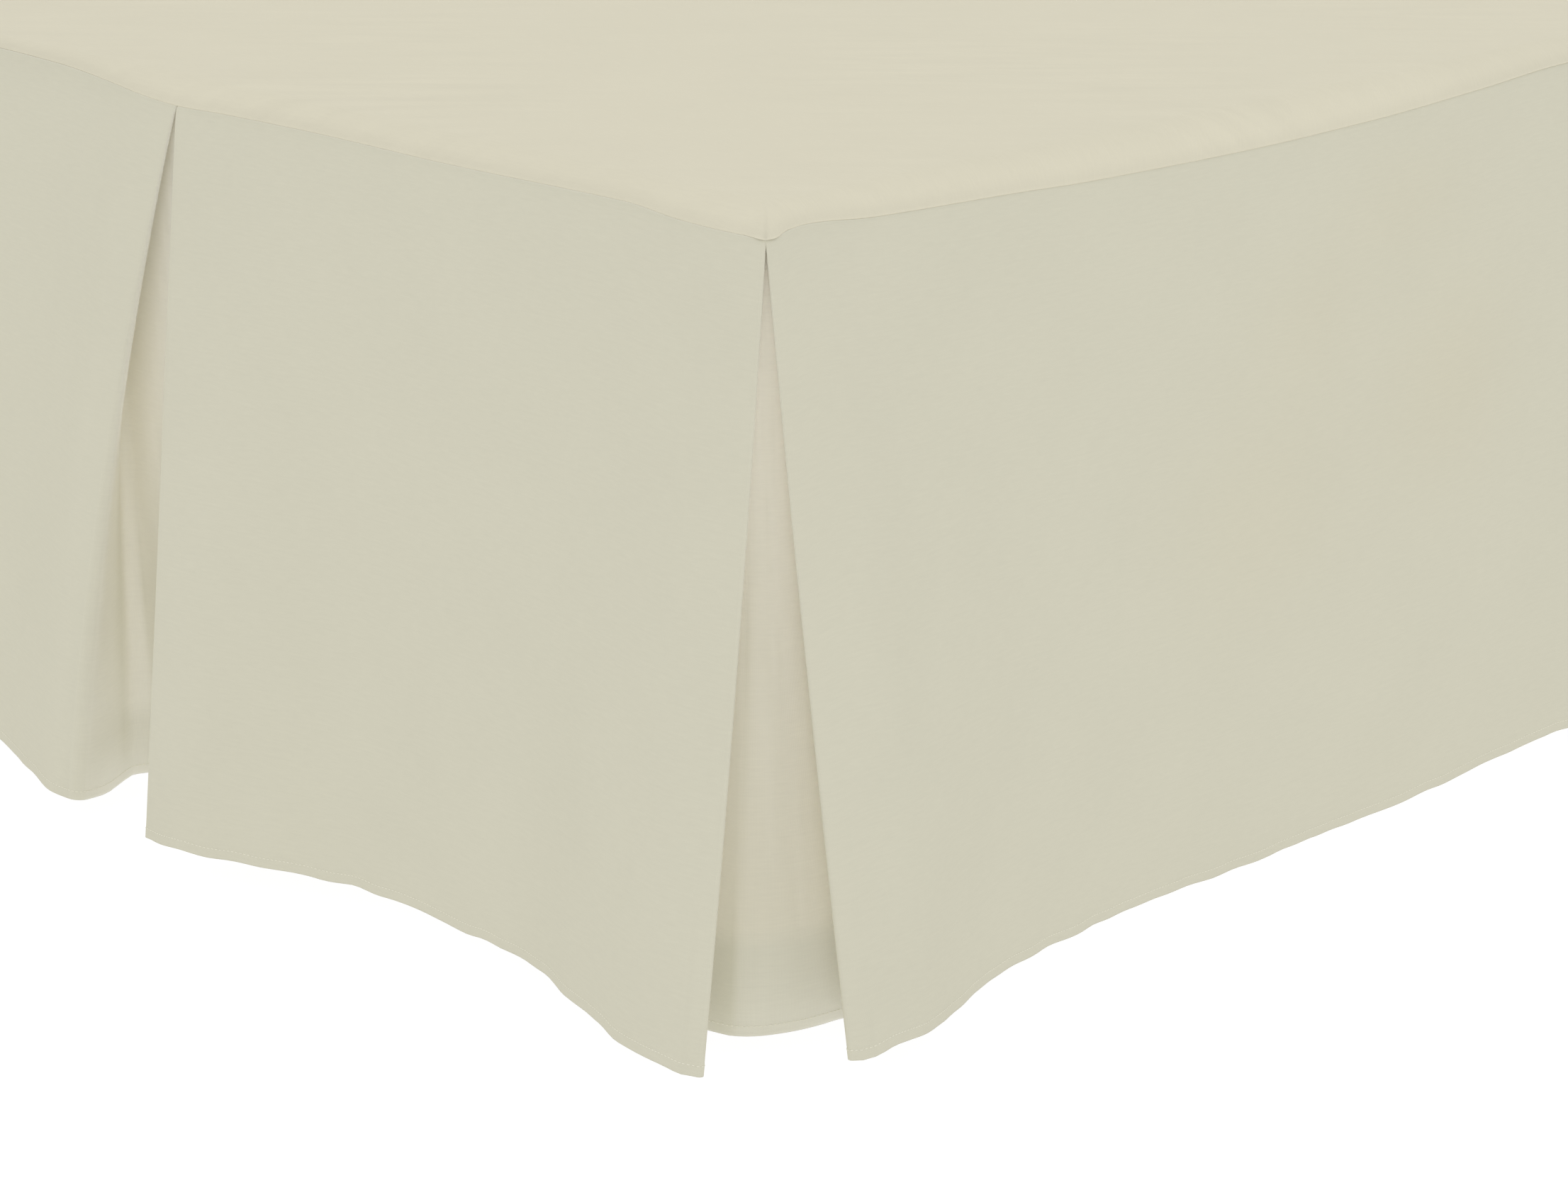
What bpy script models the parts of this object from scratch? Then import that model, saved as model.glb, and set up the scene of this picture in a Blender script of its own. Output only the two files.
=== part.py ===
"""Bed skirt on a plain single bed base.

A flat cloth platform covers the base and rolls over three of its top edges.  A pleated skirt is sewn
to the platform's edge along both long sides and the foot, and hangs to just above the floor.
Metres, +Z up.  The origin is on the floor, under the middle of the whole object.  +Y is the head end.
"""

import math
from collections import namedtuple

import bmesh
import bpy
from mathutils import Vector

COLLECTION_NAME = "bed_skirt"

# Bed base
BASE_WIDTH = 0.900
BASE_LENGTH = 1.900
BASE_TOP = 0.424
BASE_BOTTOM = 0.060
BASE_EDGE_RADIUS = 0.020
BASE_EDGE_STEPS = 4
FOOT_FACE_Y = -0.906  # the base's foot end, set so that the flared skirt is centred on the origin
LEG_RADIUS = 0.024
LEG_INSET = 0.095
LEG_EDGE = 0.002
LEG_SIDES = 24
LEG_EDGE_STEPS = 2

# Cloth
CLOTH_THICKNESS = 0.0012
EDGE_CLEARANCE = 0.0024  # between the base's sides and the innermost layer of cloth
LAYER_PITCH = 0.0018  # from one layer of a pleat to the next, middle to middle
REST_GAP = 0.0003  # between pieces that touch
SEAM_GAP = 0.00035  # half of the gap between the platform's edge and the skirt's
ROLL_RADIUS = 0.018  # the platform's roll over the base's top edge
CORNER_SQUARENESS = 8  # power of the corner's outline: 2 is round, more is squarer
DROP = 0.400  # from seam to hem, along the cloth
CORNER_LIFT = 0.0004  # the platform's edge stands this much higher at the foot corners
PLATFORM_MARGIN = 0.004  # least distance between the corner's rolled points and the side's
HEAD_HEM_INSET = 0.003  # from the base's head end to the cloth's end
SECOND_OUTER_RADIUS = 0.0035  # the second outer fold of every pleat, at the hem
SECOND_INNER_RADIUS = 0.0018  # its second inner fold, at the hem
PLEAT_DEPTH = 0.070  # from a pleat's outer fold to its inner fold, at the seam
UNDERLAY_SWING = 0.037  # how far a corner's underlay runs straight before it curves, at the hem

# Steps of the mesh
FALLS = (0.0, 0.02, 0.045, 0.12, 0.25, 0.4, 0.55, 0.7, 0.85, 1.0)  # rows, as shares of the drop
FOLD_STEPS = 3
RETURN_STEPS = 2
UNDERLAY_STEPS = 5
ROLL_STEPS = 4
CORNER_STEPS = 4
MERGE_DISTANCE = 0.00001

# Worked out from the above
CLOTH_TOP = BASE_TOP + REST_GAP + CLOTH_THICKNESS / 2
UNDERLAY_OUT = EDGE_CLEARANCE + CLOTH_THICKNESS / 2
RETURN_OUT = UNDERLAY_OUT + LAYER_PITCH
FRONT_OUT = RETURN_OUT + LAYER_PITCH
ROLL_START = ROLL_RADIUS - FRONT_OUT  # how far inside the base's side the platform starts to roll

# The base's sides, as seen in plan.  Travel runs along the strip, from the head on the left side,
# round the foot, to the head on the right side.  Out is the distance from the base.
Face = namedtuple("Face", "origin travel out")
FACES = {
    "left": Face(Vector((-BASE_WIDTH / 2, FOOT_FACE_Y)), Vector((0, -1)), Vector((-1, 0))),
    "foot": Face(Vector((0, FOOT_FACE_Y)), Vector((1, 0)), Vector((0, -1))),
    "right": Face(Vector((BASE_WIDTH / 2, FOOT_FACE_Y)), Vector((0, 1)), Vector((1, 0))),
}

# The seam wanders up and down the roll of the platform's edge.
SeamRow = namedtuple("SeamRow", "travel depth")
SEAM = {
    "left": [
        SeamRow(-1.90, 0.0125),
        SeamRow(-1.45, 0.0165),
        SeamRow(-1.15, 0.0120),
        SeamRow(-0.95, 0.0135),
        SeamRow(-0.70, 0.0110),
        SeamRow(-0.40, 0.0185),
        SeamRow(-0.18, 0.0145),
        SeamRow(-0.04, 0.0112),
        SeamRow(0.00, 0.0135),
    ],
    "foot": [
        SeamRow(-0.45, 0.0135),
        SeamRow(-0.38, 0.0115),
        SeamRow(-0.28, 0.0060),
        SeamRow(-0.18, 0.0042),
        SeamRow(-0.115, 0.0052),
        SeamRow(-0.075, 0.0074),
        SeamRow(-0.025, 0.0117),
        SeamRow(0.000, 0.0128),
        SeamRow(0.045, 0.0117),
        SeamRow(0.126, 0.0109),
        SeamRow(0.220, 0.0115),
        SeamRow(0.357, 0.0104),
        SeamRow(0.397, 0.0131),
        SeamRow(0.425, 0.0137),
        SeamRow(0.450, 0.0135),
    ],
    "right": [
        SeamRow(0.000, 0.0135),
        SeamRow(0.010, 0.0112),
        SeamRow(0.021, 0.0104),
        SeamRow(0.066, 0.0136),
        SeamRow(0.166, 0.0168),
        SeamRow(0.223, 0.0191),
        SeamRow(0.353, 0.0208),
        SeamRow(0.445, 0.0195),
        SeamRow(0.542, 0.0154),
        SeamRow(0.630, 0.0112),
        SeamRow(0.780, 0.0115),
        SeamRow(0.950, 0.0138),
        SeamRow(1.200, 0.0170),
        SeamRow(1.550, 0.0120),
        SeamRow(1.900, 0.0125),
    ],
}

# The six panels, in the order of travel.  start and end are places on the seam.  Each row gives where
# a share of the panel hangs at the hem, and how early it swings out there (bow, 0 is evenly).
Panel = namedtuple("Panel", "face start end steps rows")
HemRow = namedtuple("HemRow", "share travel out bow")
PANELS = [
    Panel("left", -1.897, -0.951, 15, [
        HemRow(0.00, -1.892, 0.020, 0.0),
        HemRow(0.10, -1.800, 0.016, 0.0),
        HemRow(0.32, -1.590, 0.027, 0.2),
        HemRow(0.55, -1.375, 0.014, 0.0),
        HemRow(0.78, -1.155, 0.024, 0.0),
        HemRow(0.90, -1.050, 0.050, 0.1),
        HemRow(0.97, -0.995, 0.066, 0.2),
        HemRow(1.00, -0.978, 0.060, 0.2),
    ]),
    Panel("left", -0.949, 0.0038, 15, [
        HemRow(0.00, -0.915, 0.064, 0.1),
        HemRow(0.04, -0.885, 0.068, 0.0),
        HemRow(0.14, -0.805, 0.043, 0.0),
        HemRow(0.34, -0.625, 0.018, 0.0),
        HemRow(0.56, -0.420, 0.024, 0.1),
        HemRow(0.76, -0.225, 0.026, 0.0),
        HemRow(0.90, -0.095, 0.058, 0.0),
        HemRow(0.97, -0.028, 0.080, 0.0),
        HemRow(1.00, -0.006, 0.070, 0.1),
    ]),
    Panel("foot", -0.4538, -0.0009, 12, [
        HemRow(0.00, -0.476, 0.074, 0.1),
        HemRow(0.05, -0.450, 0.082, 0.0),
        HemRow(0.18, -0.390, 0.062, 0.0),
        HemRow(0.35, -0.312, 0.034, 0.0),
        HemRow(0.54, -0.228, 0.031, 0.1),
        HemRow(0.74, -0.144, 0.045, 0.2),
        HemRow(0.86, -0.091, 0.062, 0.3),
        HemRow(0.94, -0.057, 0.069, 0.5),
        HemRow(1.00, -0.040, 0.066, 0.5),
    ]),
    Panel("foot", 0.0009, 0.4538, 14, [
        HemRow(0.00, 0.039, 0.076, 0.0),
        HemRow(0.05, 0.062, 0.078, 0.0),
        HemRow(0.17, 0.113, 0.058, 0.0),
        HemRow(0.28, 0.160, 0.038, 0.0),
        HemRow(0.40, 0.210, 0.031, 0.0),
        HemRow(0.58, 0.298, 0.037, 0.0),
        HemRow(0.79, 0.396, 0.070, 0.0),
        HemRow(0.90, 0.444, 0.083, 0.0),
        HemRow(0.97, 0.477, 0.086, 0.0),
        HemRow(1.00, 0.486, 0.079, 0.0),
    ]),
    Panel("right", -0.0038, 0.949, 18, [
        HemRow(0.00, -0.011, 0.069, 0.1),
        HemRow(0.015, 0.001, 0.078, 0.0),
        HemRow(0.045, 0.029, 0.075, 0.0),
        HemRow(0.115, 0.087, 0.052, 0.0),
        HemRow(0.160, 0.126, 0.036, 0.0),
        HemRow(0.235, 0.197, 0.021, 0.0),
        HemRow(0.305, 0.260, 0.015, 0.0),
        HemRow(0.43, 0.379, 0.015, 0.0),
        HemRow(0.56, 0.504, 0.021, 0.0),
        HemRow(0.69, 0.628, 0.020, 0.0),
        HemRow(0.80, 0.730, 0.030, 0.0),
        HemRow(0.92, 0.850, 0.058, 0.1),
        HemRow(0.98, 0.905, 0.068, 0.2),
        HemRow(1.00, 0.918, 0.062, 0.2),
    ]),
    Panel("right", 0.951, 1.897, 15, [
        HemRow(0.00, 0.977, 0.064, 0.2),
        HemRow(0.03, 1.000, 0.068, 0.1),
        HemRow(0.13, 1.085, 0.044, 0.0),
        HemRow(0.30, 1.240, 0.017, 0.0),
        HemRow(0.52, 1.450, 0.026, 0.2),
        HemRow(0.76, 1.670, 0.014, 0.0),
        HemRow(1.00, 1.890, 0.022, 0.0),
    ]),
]

# The five pleats, each between two panels: how round its first outer fold and its first inner fold
# are at the hem, and where its two inner folds hang there.
Pleat = namedtuple("Pleat", "outer_radius inner_radius first_travel first_out second_travel second_out")
PLEATS = [
    Pleat(0.0035, 0.0018, -1.015, 0.010, -0.880, 0.010),
    Pleat(0.0035, 0.0018, -0.060, 0.030, -0.424, 0.034),
    Pleat(0.0070, 0.0130, -0.049, 0.0095, 0.070, 0.008),
    Pleat(0.0035, 0.0018, 0.424, 0.034, 0.053, 0.026),
    Pleat(0.0035, 0.0018, 0.884, 0.010, 1.018, 0.010),
]

# Colours
CLOTH_COLOUR = (0.72, 0.67, 0.54, 1.0)
BASE_COLOUR = (0.62, 0.60, 0.56, 1.0)
LEG_COLOUR = (0.05, 0.05, 0.05, 1.0)
CLOTH_ROUGHNESS = 0.9
LEG_ROUGHNESS = 0.5

Station = namedtuple("Station", "seam hem normal depth bow")


def clear_scene():
    for obj in list(bpy.data.objects):
        bpy.data.objects.remove(obj, do_unlink=True)


def make_collection(name):
    collection = bpy.data.collections.new(name)
    bpy.context.scene.collection.children.link(collection)
    return collection


def make_material(name, colour, roughness):
    material = bpy.data.materials.new(name)
    material.use_nodes = True
    shader = material.node_tree.nodes["Principled BSDF"]
    shader.inputs["Base Color"].default_value = colour
    shader.inputs["Roughness"].default_value = roughness
    shader.inputs["Metallic"].default_value = 0.0
    return material


def move_to(obj, collection):
    for old in list(obj.users_collection):
        old.objects.unlink(obj)
    collection.objects.link(obj)


def smooth_value(rows, key, value, at):
    """Value at a place between a table's rows, on a cubic through them that doesn't overshoot."""
    places = [getattr(row, key) for row in rows]
    values = [getattr(row, value) for row in rows]
    if at <= places[0]:
        return values[0]
    if at >= places[-1]:
        return values[-1]
    last = len(rows) - 1
    slopes = [(values[i + 1] - values[i]) / (places[i + 1] - places[i]) for i in range(last)]

    def tangent(i):
        if i in (0, last):
            return slopes[min(i, last - 1)]
        before, after = slopes[i - 1], slopes[i]
        if before * after <= 0:
            return 0.0
        return 2 * before * after / (before + after)

    i = max(j for j in range(last) if places[j] <= at)
    span = places[i + 1] - places[i]
    t = (at - places[i]) / span
    return (
        values[i] * (1 + 2 * t) * (1 - t) ** 2
        + values[i + 1] * t * t * (3 - 2 * t)
        + span * tangent(i) * t * (1 - t) ** 2
        - span * tangent(i + 1) * t * t * (1 - t)
    )


def on_face(face, travel, out):
    side = FACES[face]
    return side.origin + side.travel * travel + side.out * out


def roll_offset(depth):
    """How far the cloth's roll over the top edge lies inside its vertical part, at a depth."""
    if depth >= ROLL_RADIUS:
        return 0.0
    return math.sqrt(ROLL_RADIUS**2 - (ROLL_RADIUS - depth) ** 2) - ROLL_RADIUS


def seam_depth(face, travel):
    return smooth_value(SEAM[face], "travel", "depth", travel)


def station(face, seam, hem, bow):
    """One line of the skirt from seam to hem; seam and hem are (travel, out) pairs on a face."""
    return Station(
        on_face(face, *seam), on_face(face, *hem), FACES[face].out, seam_depth(face, seam[0]), bow
    )


def panel_stations(panel):
    stations = []
    for step in range(panel.steps + 1):
        share = step / panel.steps
        travel = panel.start + share * (panel.end - panel.start)
        hem = [smooth_value(panel.rows, "share", column, share) for column in ("travel", "out", "bow")]
        stations.append(station(panel.face, (travel, FRONT_OUT), hem[:2], hem[2]))
    return stations


def heading(start, end):
    return math.atan2(end[1] - start[1], end[0] - start[0])


def fold_arc(tip, arrive, leave, side, radius):
    """Points round a fold.  tip is its outermost point; side is 1 for a left turn, -1 for a right."""
    sweep = (side * (leave - arrive)) % math.tau
    middle = arrive + side * sweep / 2
    centre = (tip[0] - side * radius * math.sin(middle), tip[1] + side * radius * math.cos(middle))
    points = []
    for step in range(FOLD_STEPS + 1):
        angle = arrive + side * sweep * step / FOLD_STEPS
        points.append(
            (centre[0] + side * radius * math.sin(angle), centre[1] - side * radius * math.cos(angle))
        )
    return points


def fold_stations(face, seam_arc, hem_arc, bow):
    return [station(face, seam, hem, bow) for seam, hem in zip(seam_arc, hem_arc)]


def between(first, second, steps):
    """Stations strictly between two others, evenly spaced."""
    stations = []
    for step in range(1, steps):
        share = step / steps
        stations.append(
            Station(
                first.seam.lerp(second.seam, share),
                first.hem.lerp(second.hem, share),
                first.normal,
                first.depth + share * (second.depth - first.depth),
                first.bow + share * (second.bow - first.bow),
            )
        )
    return stations


def curve_point(first, second, first_face, second_face, share):
    """Point on the curve that an underlay's hem takes round a corner."""
    start = first + FACES[first_face].travel * UNDERLAY_SWING
    end = second - FACES[second_face].travel * UNDERLAY_SWING
    rest = 1 - share
    return first * rest**3 + start * 3 * rest**2 * share + end * 3 * rest * share**2 + second * share**3


def corner_stations(first, second, first_face, second_face):
    """The underlay of a corner pleat between its two inner folds, round the base's upright edge."""
    out_in = FACES[first_face].out
    out_on = FACES[second_face].out
    corner = Vector((out_in.x + out_on.x, out_in.y + out_on.y))
    axis = Vector((corner.x * (BASE_WIDTH / 2 - BASE_EDGE_RADIUS), FOOT_FACE_Y + BASE_EDGE_RADIUS))
    reach = BASE_EDGE_RADIUS + UNDERLAY_OUT
    arc = []
    for step in range(CORNER_STEPS + 1):
        angle = math.pi / 2 * step / CORNER_STEPS
        normal = out_in * math.cos(angle) + out_on * math.sin(angle)
        arc.append((axis + normal * reach, normal))
    lead_in = (first.seam.lerp(arc[0][0], 0.5), out_in)
    lead_out = (second.seam.lerp(arc[-1][0], 0.5), out_on)
    seams = [lead_in] + arc + [lead_out]
    stations = []
    for index, (seam, normal) in enumerate(seams):
        share = (index + 1) / (len(seams) + 1)
        hem = curve_point(first.hem, second.hem, first_face, second_face, share)
        depth = first.depth + share * (second.depth - first.depth)
        stations.append(Station(seam, hem, normal, depth, 0.0))
    return stations


def pleat_stations(pleat, before, after):
    """An inverted box pleat: outer fold, return, inner fold, underlay, inner fold, return, outer fold."""
    outer = (FRONT_OUT + RETURN_OUT) / 2
    inner = (RETURN_OUT + UNDERLAY_OUT) / 2
    last, first = before.rows[-1], after.rows[0]
    first_hem = (last.travel, last.out)
    second_hem = (first.travel, first.out)
    first_inner = (pleat.first_travel, pleat.first_out)
    second_inner = (pleat.second_travel, pleat.second_out)
    panel_in = heading((before.rows[-2].travel, before.rows[-2].out), first_hem)
    panel_on = heading(second_hem, (after.rows[1].travel, after.rows[1].out))
    back = heading(first_hem, first_inner)
    forth = heading(second_inner, second_hem)
    radius = LAYER_PITCH / 2

    fold_a = fold_stations(
        before.face,
        fold_arc((before.end, outer), 0, math.pi, -1, radius),
        fold_arc(first_hem, panel_in, back, -1, pleat.outer_radius),
        last.bow,
    )
    fold_b = fold_stations(
        before.face,
        fold_arc((before.end - PLEAT_DEPTH, inner), math.pi, 0, 1, radius),
        fold_arc(first_inner, back, 0, 1, pleat.inner_radius),
        0.0,
    )
    fold_c = fold_stations(
        after.face,
        fold_arc((after.start + PLEAT_DEPTH, inner), 0, math.pi, 1, radius),
        fold_arc(second_inner, 0, forth, 1, SECOND_INNER_RADIUS),
        0.0,
    )
    fold_d = fold_stations(
        after.face,
        fold_arc((after.start, outer), math.pi, 0, -1, radius),
        fold_arc(second_hem, forth, panel_on, -1, SECOND_OUTER_RADIUS),
        first.bow,
    )
    if before.face == after.face:
        underlay = between(fold_b[-1], fold_c[0], UNDERLAY_STEPS)
    else:
        underlay = corner_stations(fold_b[-1], fold_c[0], before.face, after.face)
    return (
        fold_a
        + between(fold_a[-1], fold_b[0], RETURN_STEPS)
        + fold_b
        + underlay
        + fold_c
        + between(fold_c[-1], fold_d[0], RETURN_STEPS)
        + fold_d
    )


def skirt_stations():
    """The whole strip in the order of travel; a pleat's outer folds stand in for its panels' ends."""
    stations = panel_stations(PANELS[0])[:-1]
    for pleat, before, after in zip(PLEATS, PANELS, PANELS[1:]):
        stations += pleat_stations(pleat, before, after)
        stations += panel_stations(after)[1:-1]
    stations.append(panel_stations(PANELS[-1])[-1])
    return stations


def skirt_point(place, fall):
    """Point of the skirt on a station's line; fall is 0 at the seam and 1 at the hem."""
    swing = fall + place.bow * fall * (1 - fall)
    plan = place.seam.lerp(place.hem, swing) + place.normal * roll_offset(place.depth + fall * DROP)
    height = math.sqrt(DROP**2 - (place.hem - place.seam).length_squared)
    return Vector((plan.x, plan.y, CLOTH_TOP - place.depth - SEAM_GAP - fall * height))


def new_object(name, mesh, material, collection):
    mesh.materials.append(material)
    obj = bpy.data.objects.new(name, mesh)
    collection.objects.link(obj)
    return obj


def thicken(obj):
    solidify = obj.modifiers.new("thickness", "SOLIDIFY")
    solidify.thickness = CLOTH_THICKNESS
    solidify.offset = 0.0
    solidify.use_even_offset = True


def make_skirt(material, collection):
    rows = [[skirt_point(place, fall) for fall in FALLS] for place in skirt_stations()]
    bm = bmesh.new()
    lines = [[bm.verts.new(point) for point in row] for row in rows]
    for left, right in zip(lines, lines[1:]):
        for i in range(len(FALLS) - 1):
            bm.faces.new((left[i], left[i + 1], right[i + 1], right[i]))
    mesh = bpy.data.meshes.new("pleated_skirt")
    bm.to_mesh(mesh)
    bm.free()
    skirt = new_object("pleated_skirt", mesh, material, collection)
    thicken(skirt)
    mesh.shade_smooth()
    return skirt


def edge_directions(squareness):
    """Directions of a corner's fan, longer towards the diagonal for a squarer corner."""
    directions = []
    for step in range(CORNER_STEPS + 1):
        angle = math.pi / 2 * step / CORNER_STEPS
        x, y = math.cos(angle), math.sin(angle)
        size = (x**squareness + y**squareness) ** (1 / squareness)
        directions.append((x / size, y / size))
    return directions


def platform_edge():
    """The platform's rim in the order of travel: where it starts to roll, its way out, and its depth.

    Along the sides its points face those of the skirt's panels, so that the two edges run parallel.
    """
    half = BASE_WIDTH / 2 - ROLL_START
    fan = edge_directions(CORNER_SQUARENESS)
    edge = []

    def add_side(face, first, last):
        for panel in PANELS:
            if panel.face != face:
                continue
            for step in range(panel.steps + 1):
                travel = panel.start + (panel.end - panel.start) * step / panel.steps
                if first <= travel <= last:
                    inner = on_face(face, travel, -ROLL_START)
                    edge.append((inner, FACES[face].out, seam_depth(face, travel)))

    def add_corner(first_face, first_travel, second_face, second_travel):
        inner = on_face(first_face, first_travel, -ROLL_START)
        for along, across in fan:
            way = FACES[first_face].out * along + FACES[second_face].out * across
            if along > across:
                depth = seam_depth(first_face, first_travel + across * ROLL_RADIUS)
            else:
                depth = seam_depth(second_face, second_travel - along * ROLL_RADIUS)
            edge.append((inner, way, depth - CORNER_LIFT))

    add_side("left", -BASE_LENGTH, -ROLL_START - PLATFORM_MARGIN)
    add_corner("left", -ROLL_START, "foot", -half)
    add_side("foot", PLATFORM_MARGIN - half, half - PLATFORM_MARGIN)
    add_corner("foot", half, "right", ROLL_START)
    add_side("right", ROLL_START + PLATFORM_MARGIN, BASE_LENGTH)
    return edge


def roll_point(inner, way, run):
    """Point of the platform's rim, a run of cloth beyond the line where it starts to roll."""
    turn = min(run / ROLL_RADIUS, math.pi / 2)
    out = ROLL_RADIUS * math.sin(turn)
    fall = ROLL_RADIUS * (1 - math.cos(turn)) + max(0.0, run - ROLL_RADIUS * math.pi / 2)
    return Vector((inner.x + way.x * out, inner.y + way.y * out, CLOTH_TOP - fall))


def roll_run(depth):
    """Run of cloth from the start of the roll down to a depth."""
    if depth < ROLL_RADIUS:
        return ROLL_RADIUS * math.acos(1 - depth / ROLL_RADIUS)
    return ROLL_RADIUS * math.pi / 2 + depth - ROLL_RADIUS


def make_platform(material, collection):
    bm = bmesh.new()
    lines = []
    for inner, way, depth in platform_edge():
        run = roll_run(depth - SEAM_GAP)
        points = [roll_point(inner, way, run * step / ROLL_STEPS) for step in range(ROLL_STEPS + 1)]
        lines.append([bm.verts.new(point) for point in points])
    for left, right in zip(lines, lines[1:]):
        for i in range(ROLL_STEPS):
            bm.faces.new((left[i], left[i + 1], right[i + 1], right[i]))
    bmesh.ops.remove_doubles(bm, verts=bm.verts, dist=MERGE_DISTANCE)
    flat = [vertex for vertex in bm.verts if is_flat(vertex)]
    rim = [edge for edge in bm.edges if edge.is_boundary and all(v in flat for v in edge.verts)]
    head_y = FOOT_FACE_Y + BASE_LENGTH - 2 * HEAD_HEM_INSET
    rim.append(bm.edges.new([vertex for vertex in flat if vertex.co.y > head_y]))
    bmesh.ops.contextual_create(bm, geom=rim)
    bmesh.ops.recalc_face_normals(bm, faces=bm.faces)
    mesh = bpy.data.meshes.new("platform")
    bm.to_mesh(mesh)
    bm.free()
    platform = new_object("platform", mesh, material, collection)
    thicken(platform)
    mesh.shade_smooth()
    return platform


def is_flat(vertex):
    """Whether a vertex lies on the platform's flat top, before the roll."""
    return vertex.co.z > CLOTH_TOP - REST_GAP


def make_base(material, collection):
    bpy.ops.mesh.primitive_cube_add(
        size=1.0, location=(0.0, FOOT_FACE_Y + BASE_LENGTH / 2, (BASE_TOP + BASE_BOTTOM) / 2)
    )
    base = bpy.context.active_object
    base.name = "bed_base"
    base.scale = (BASE_WIDTH, BASE_LENGTH, BASE_TOP - BASE_BOTTOM)
    bpy.ops.object.transform_apply(location=False, rotation=False, scale=True)
    bevel = base.modifiers.new("edges", "BEVEL")
    bevel.width = BASE_EDGE_RADIUS
    bevel.segments = BASE_EDGE_STEPS
    base.data.materials.append(material)
    move_to(base, collection)
    return base


def make_leg(number, x, y, material, collection):
    height = BASE_BOTTOM - REST_GAP
    bpy.ops.mesh.primitive_cylinder_add(
        vertices=LEG_SIDES, radius=LEG_RADIUS, depth=height, location=(x, y, height / 2)
    )
    leg = bpy.context.active_object
    leg.name = f"base_foot_{number}"
    bevel = leg.modifiers.new("edges", "BEVEL")
    bevel.width = LEG_EDGE
    bevel.segments = LEG_EDGE_STEPS
    leg.data.materials.append(material)
    move_to(leg, collection)
    return leg


def main():
    clear_scene()
    collection = make_collection(COLLECTION_NAME)
    cloth = make_material("cloth", CLOTH_COLOUR, CLOTH_ROUGHNESS)
    base_cover = make_material("base_cover", BASE_COLOUR, CLOTH_ROUGHNESS)
    leg_plastic = make_material("leg_plastic", LEG_COLOUR, LEG_ROUGHNESS)

    make_base(base_cover, collection)
    across = BASE_WIDTH / 2 - LEG_INSET
    near, far = FOOT_FACE_Y + LEG_INSET, FOOT_FACE_Y + BASE_LENGTH - LEG_INSET
    for number, (x, y) in enumerate([(-across, near), (across, near), (-across, far), (across, far)], 1):
        make_leg(number, x, y, leg_plastic, collection)
    make_platform(cloth, collection)
    make_skirt(cloth, collection)


main()
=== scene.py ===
"""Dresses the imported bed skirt: its pleated drop, its platform, its hem stitching and the bed base.

Metres, +Z up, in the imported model's frame: the origin is on the floor under the middle of the object
and +Y is the head end.  The cloth's shapes repeat the part's tables at finer steps, then get the small
forms that the solids leave out: creases, ripples along the hem, a hem fold and a sunk seam.
"""

import math
import random
from collections import namedtuple
from functools import partial

import bpy
import numpy as np
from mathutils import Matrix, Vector, noise


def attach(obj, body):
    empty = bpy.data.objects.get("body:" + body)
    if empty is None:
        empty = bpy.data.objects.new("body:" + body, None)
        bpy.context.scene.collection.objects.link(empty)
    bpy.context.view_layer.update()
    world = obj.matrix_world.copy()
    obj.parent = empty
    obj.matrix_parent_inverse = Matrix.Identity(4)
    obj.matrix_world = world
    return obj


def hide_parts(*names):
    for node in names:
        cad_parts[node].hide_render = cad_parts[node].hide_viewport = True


BODY = "root"

# ---- sizes shared with the part

BASE_WIDTH, BASE_LENGTH = 0.90, 1.90
BASE_TOP, BASE_BOTTOM = 0.424, 0.060
FOOT_FACE_Y = -0.906
SOLID_THICKNESS = 0.0012
SOLID_PITCH = 0.0018  # from one layer of a solid pleat to the next, at the seam
EDGE_CLEARANCE = 0.0024
REST_GAP = 0.0003
ROLL_RADIUS = 0.018
DROP = 0.400
HEAD_HEM_INSET = 0.003
PLEAT_DEPTH = 0.070
UNDERLAY_SWING = 0.037
SECOND_INNER_RADIUS = 0.0018  # of every pleat's second inner fold, at the hem

# ---- sizes in which the seen cloth differs from the part

LAYER_PITCH = 0.0011  # in place of SOLID_PITCH
SEAM_GAP = 0.00008
SECOND_OUTER_RADIUS = 0.0020
CORNER_SQUARENESS = 20  # power of the platform corner's outline; 2 would be round
CORNER_REACH, CORNER_REACH_POWER = 0.09, 6  # how much further out its very corner comes
CORNER_LIFT = 0.0001
CORNER_BEND_RADIUS = 0.0025  # of the corners' underlays, at the seam

CLOTH_TOP = BASE_TOP + REST_GAP + SOLID_THICKNESS / 2
FRONT_OUT = EDGE_CLEARANCE + SOLID_THICKNESS / 2 + 2 * SOLID_PITCH
RETURN_OUT = FRONT_OUT - LAYER_PITCH
UNDERLAY_OUT = RETURN_OUT - LAYER_PITCH
ROLL_START = ROLL_RADIUS - FRONT_OUT

# ---- steps of the cloth

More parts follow.
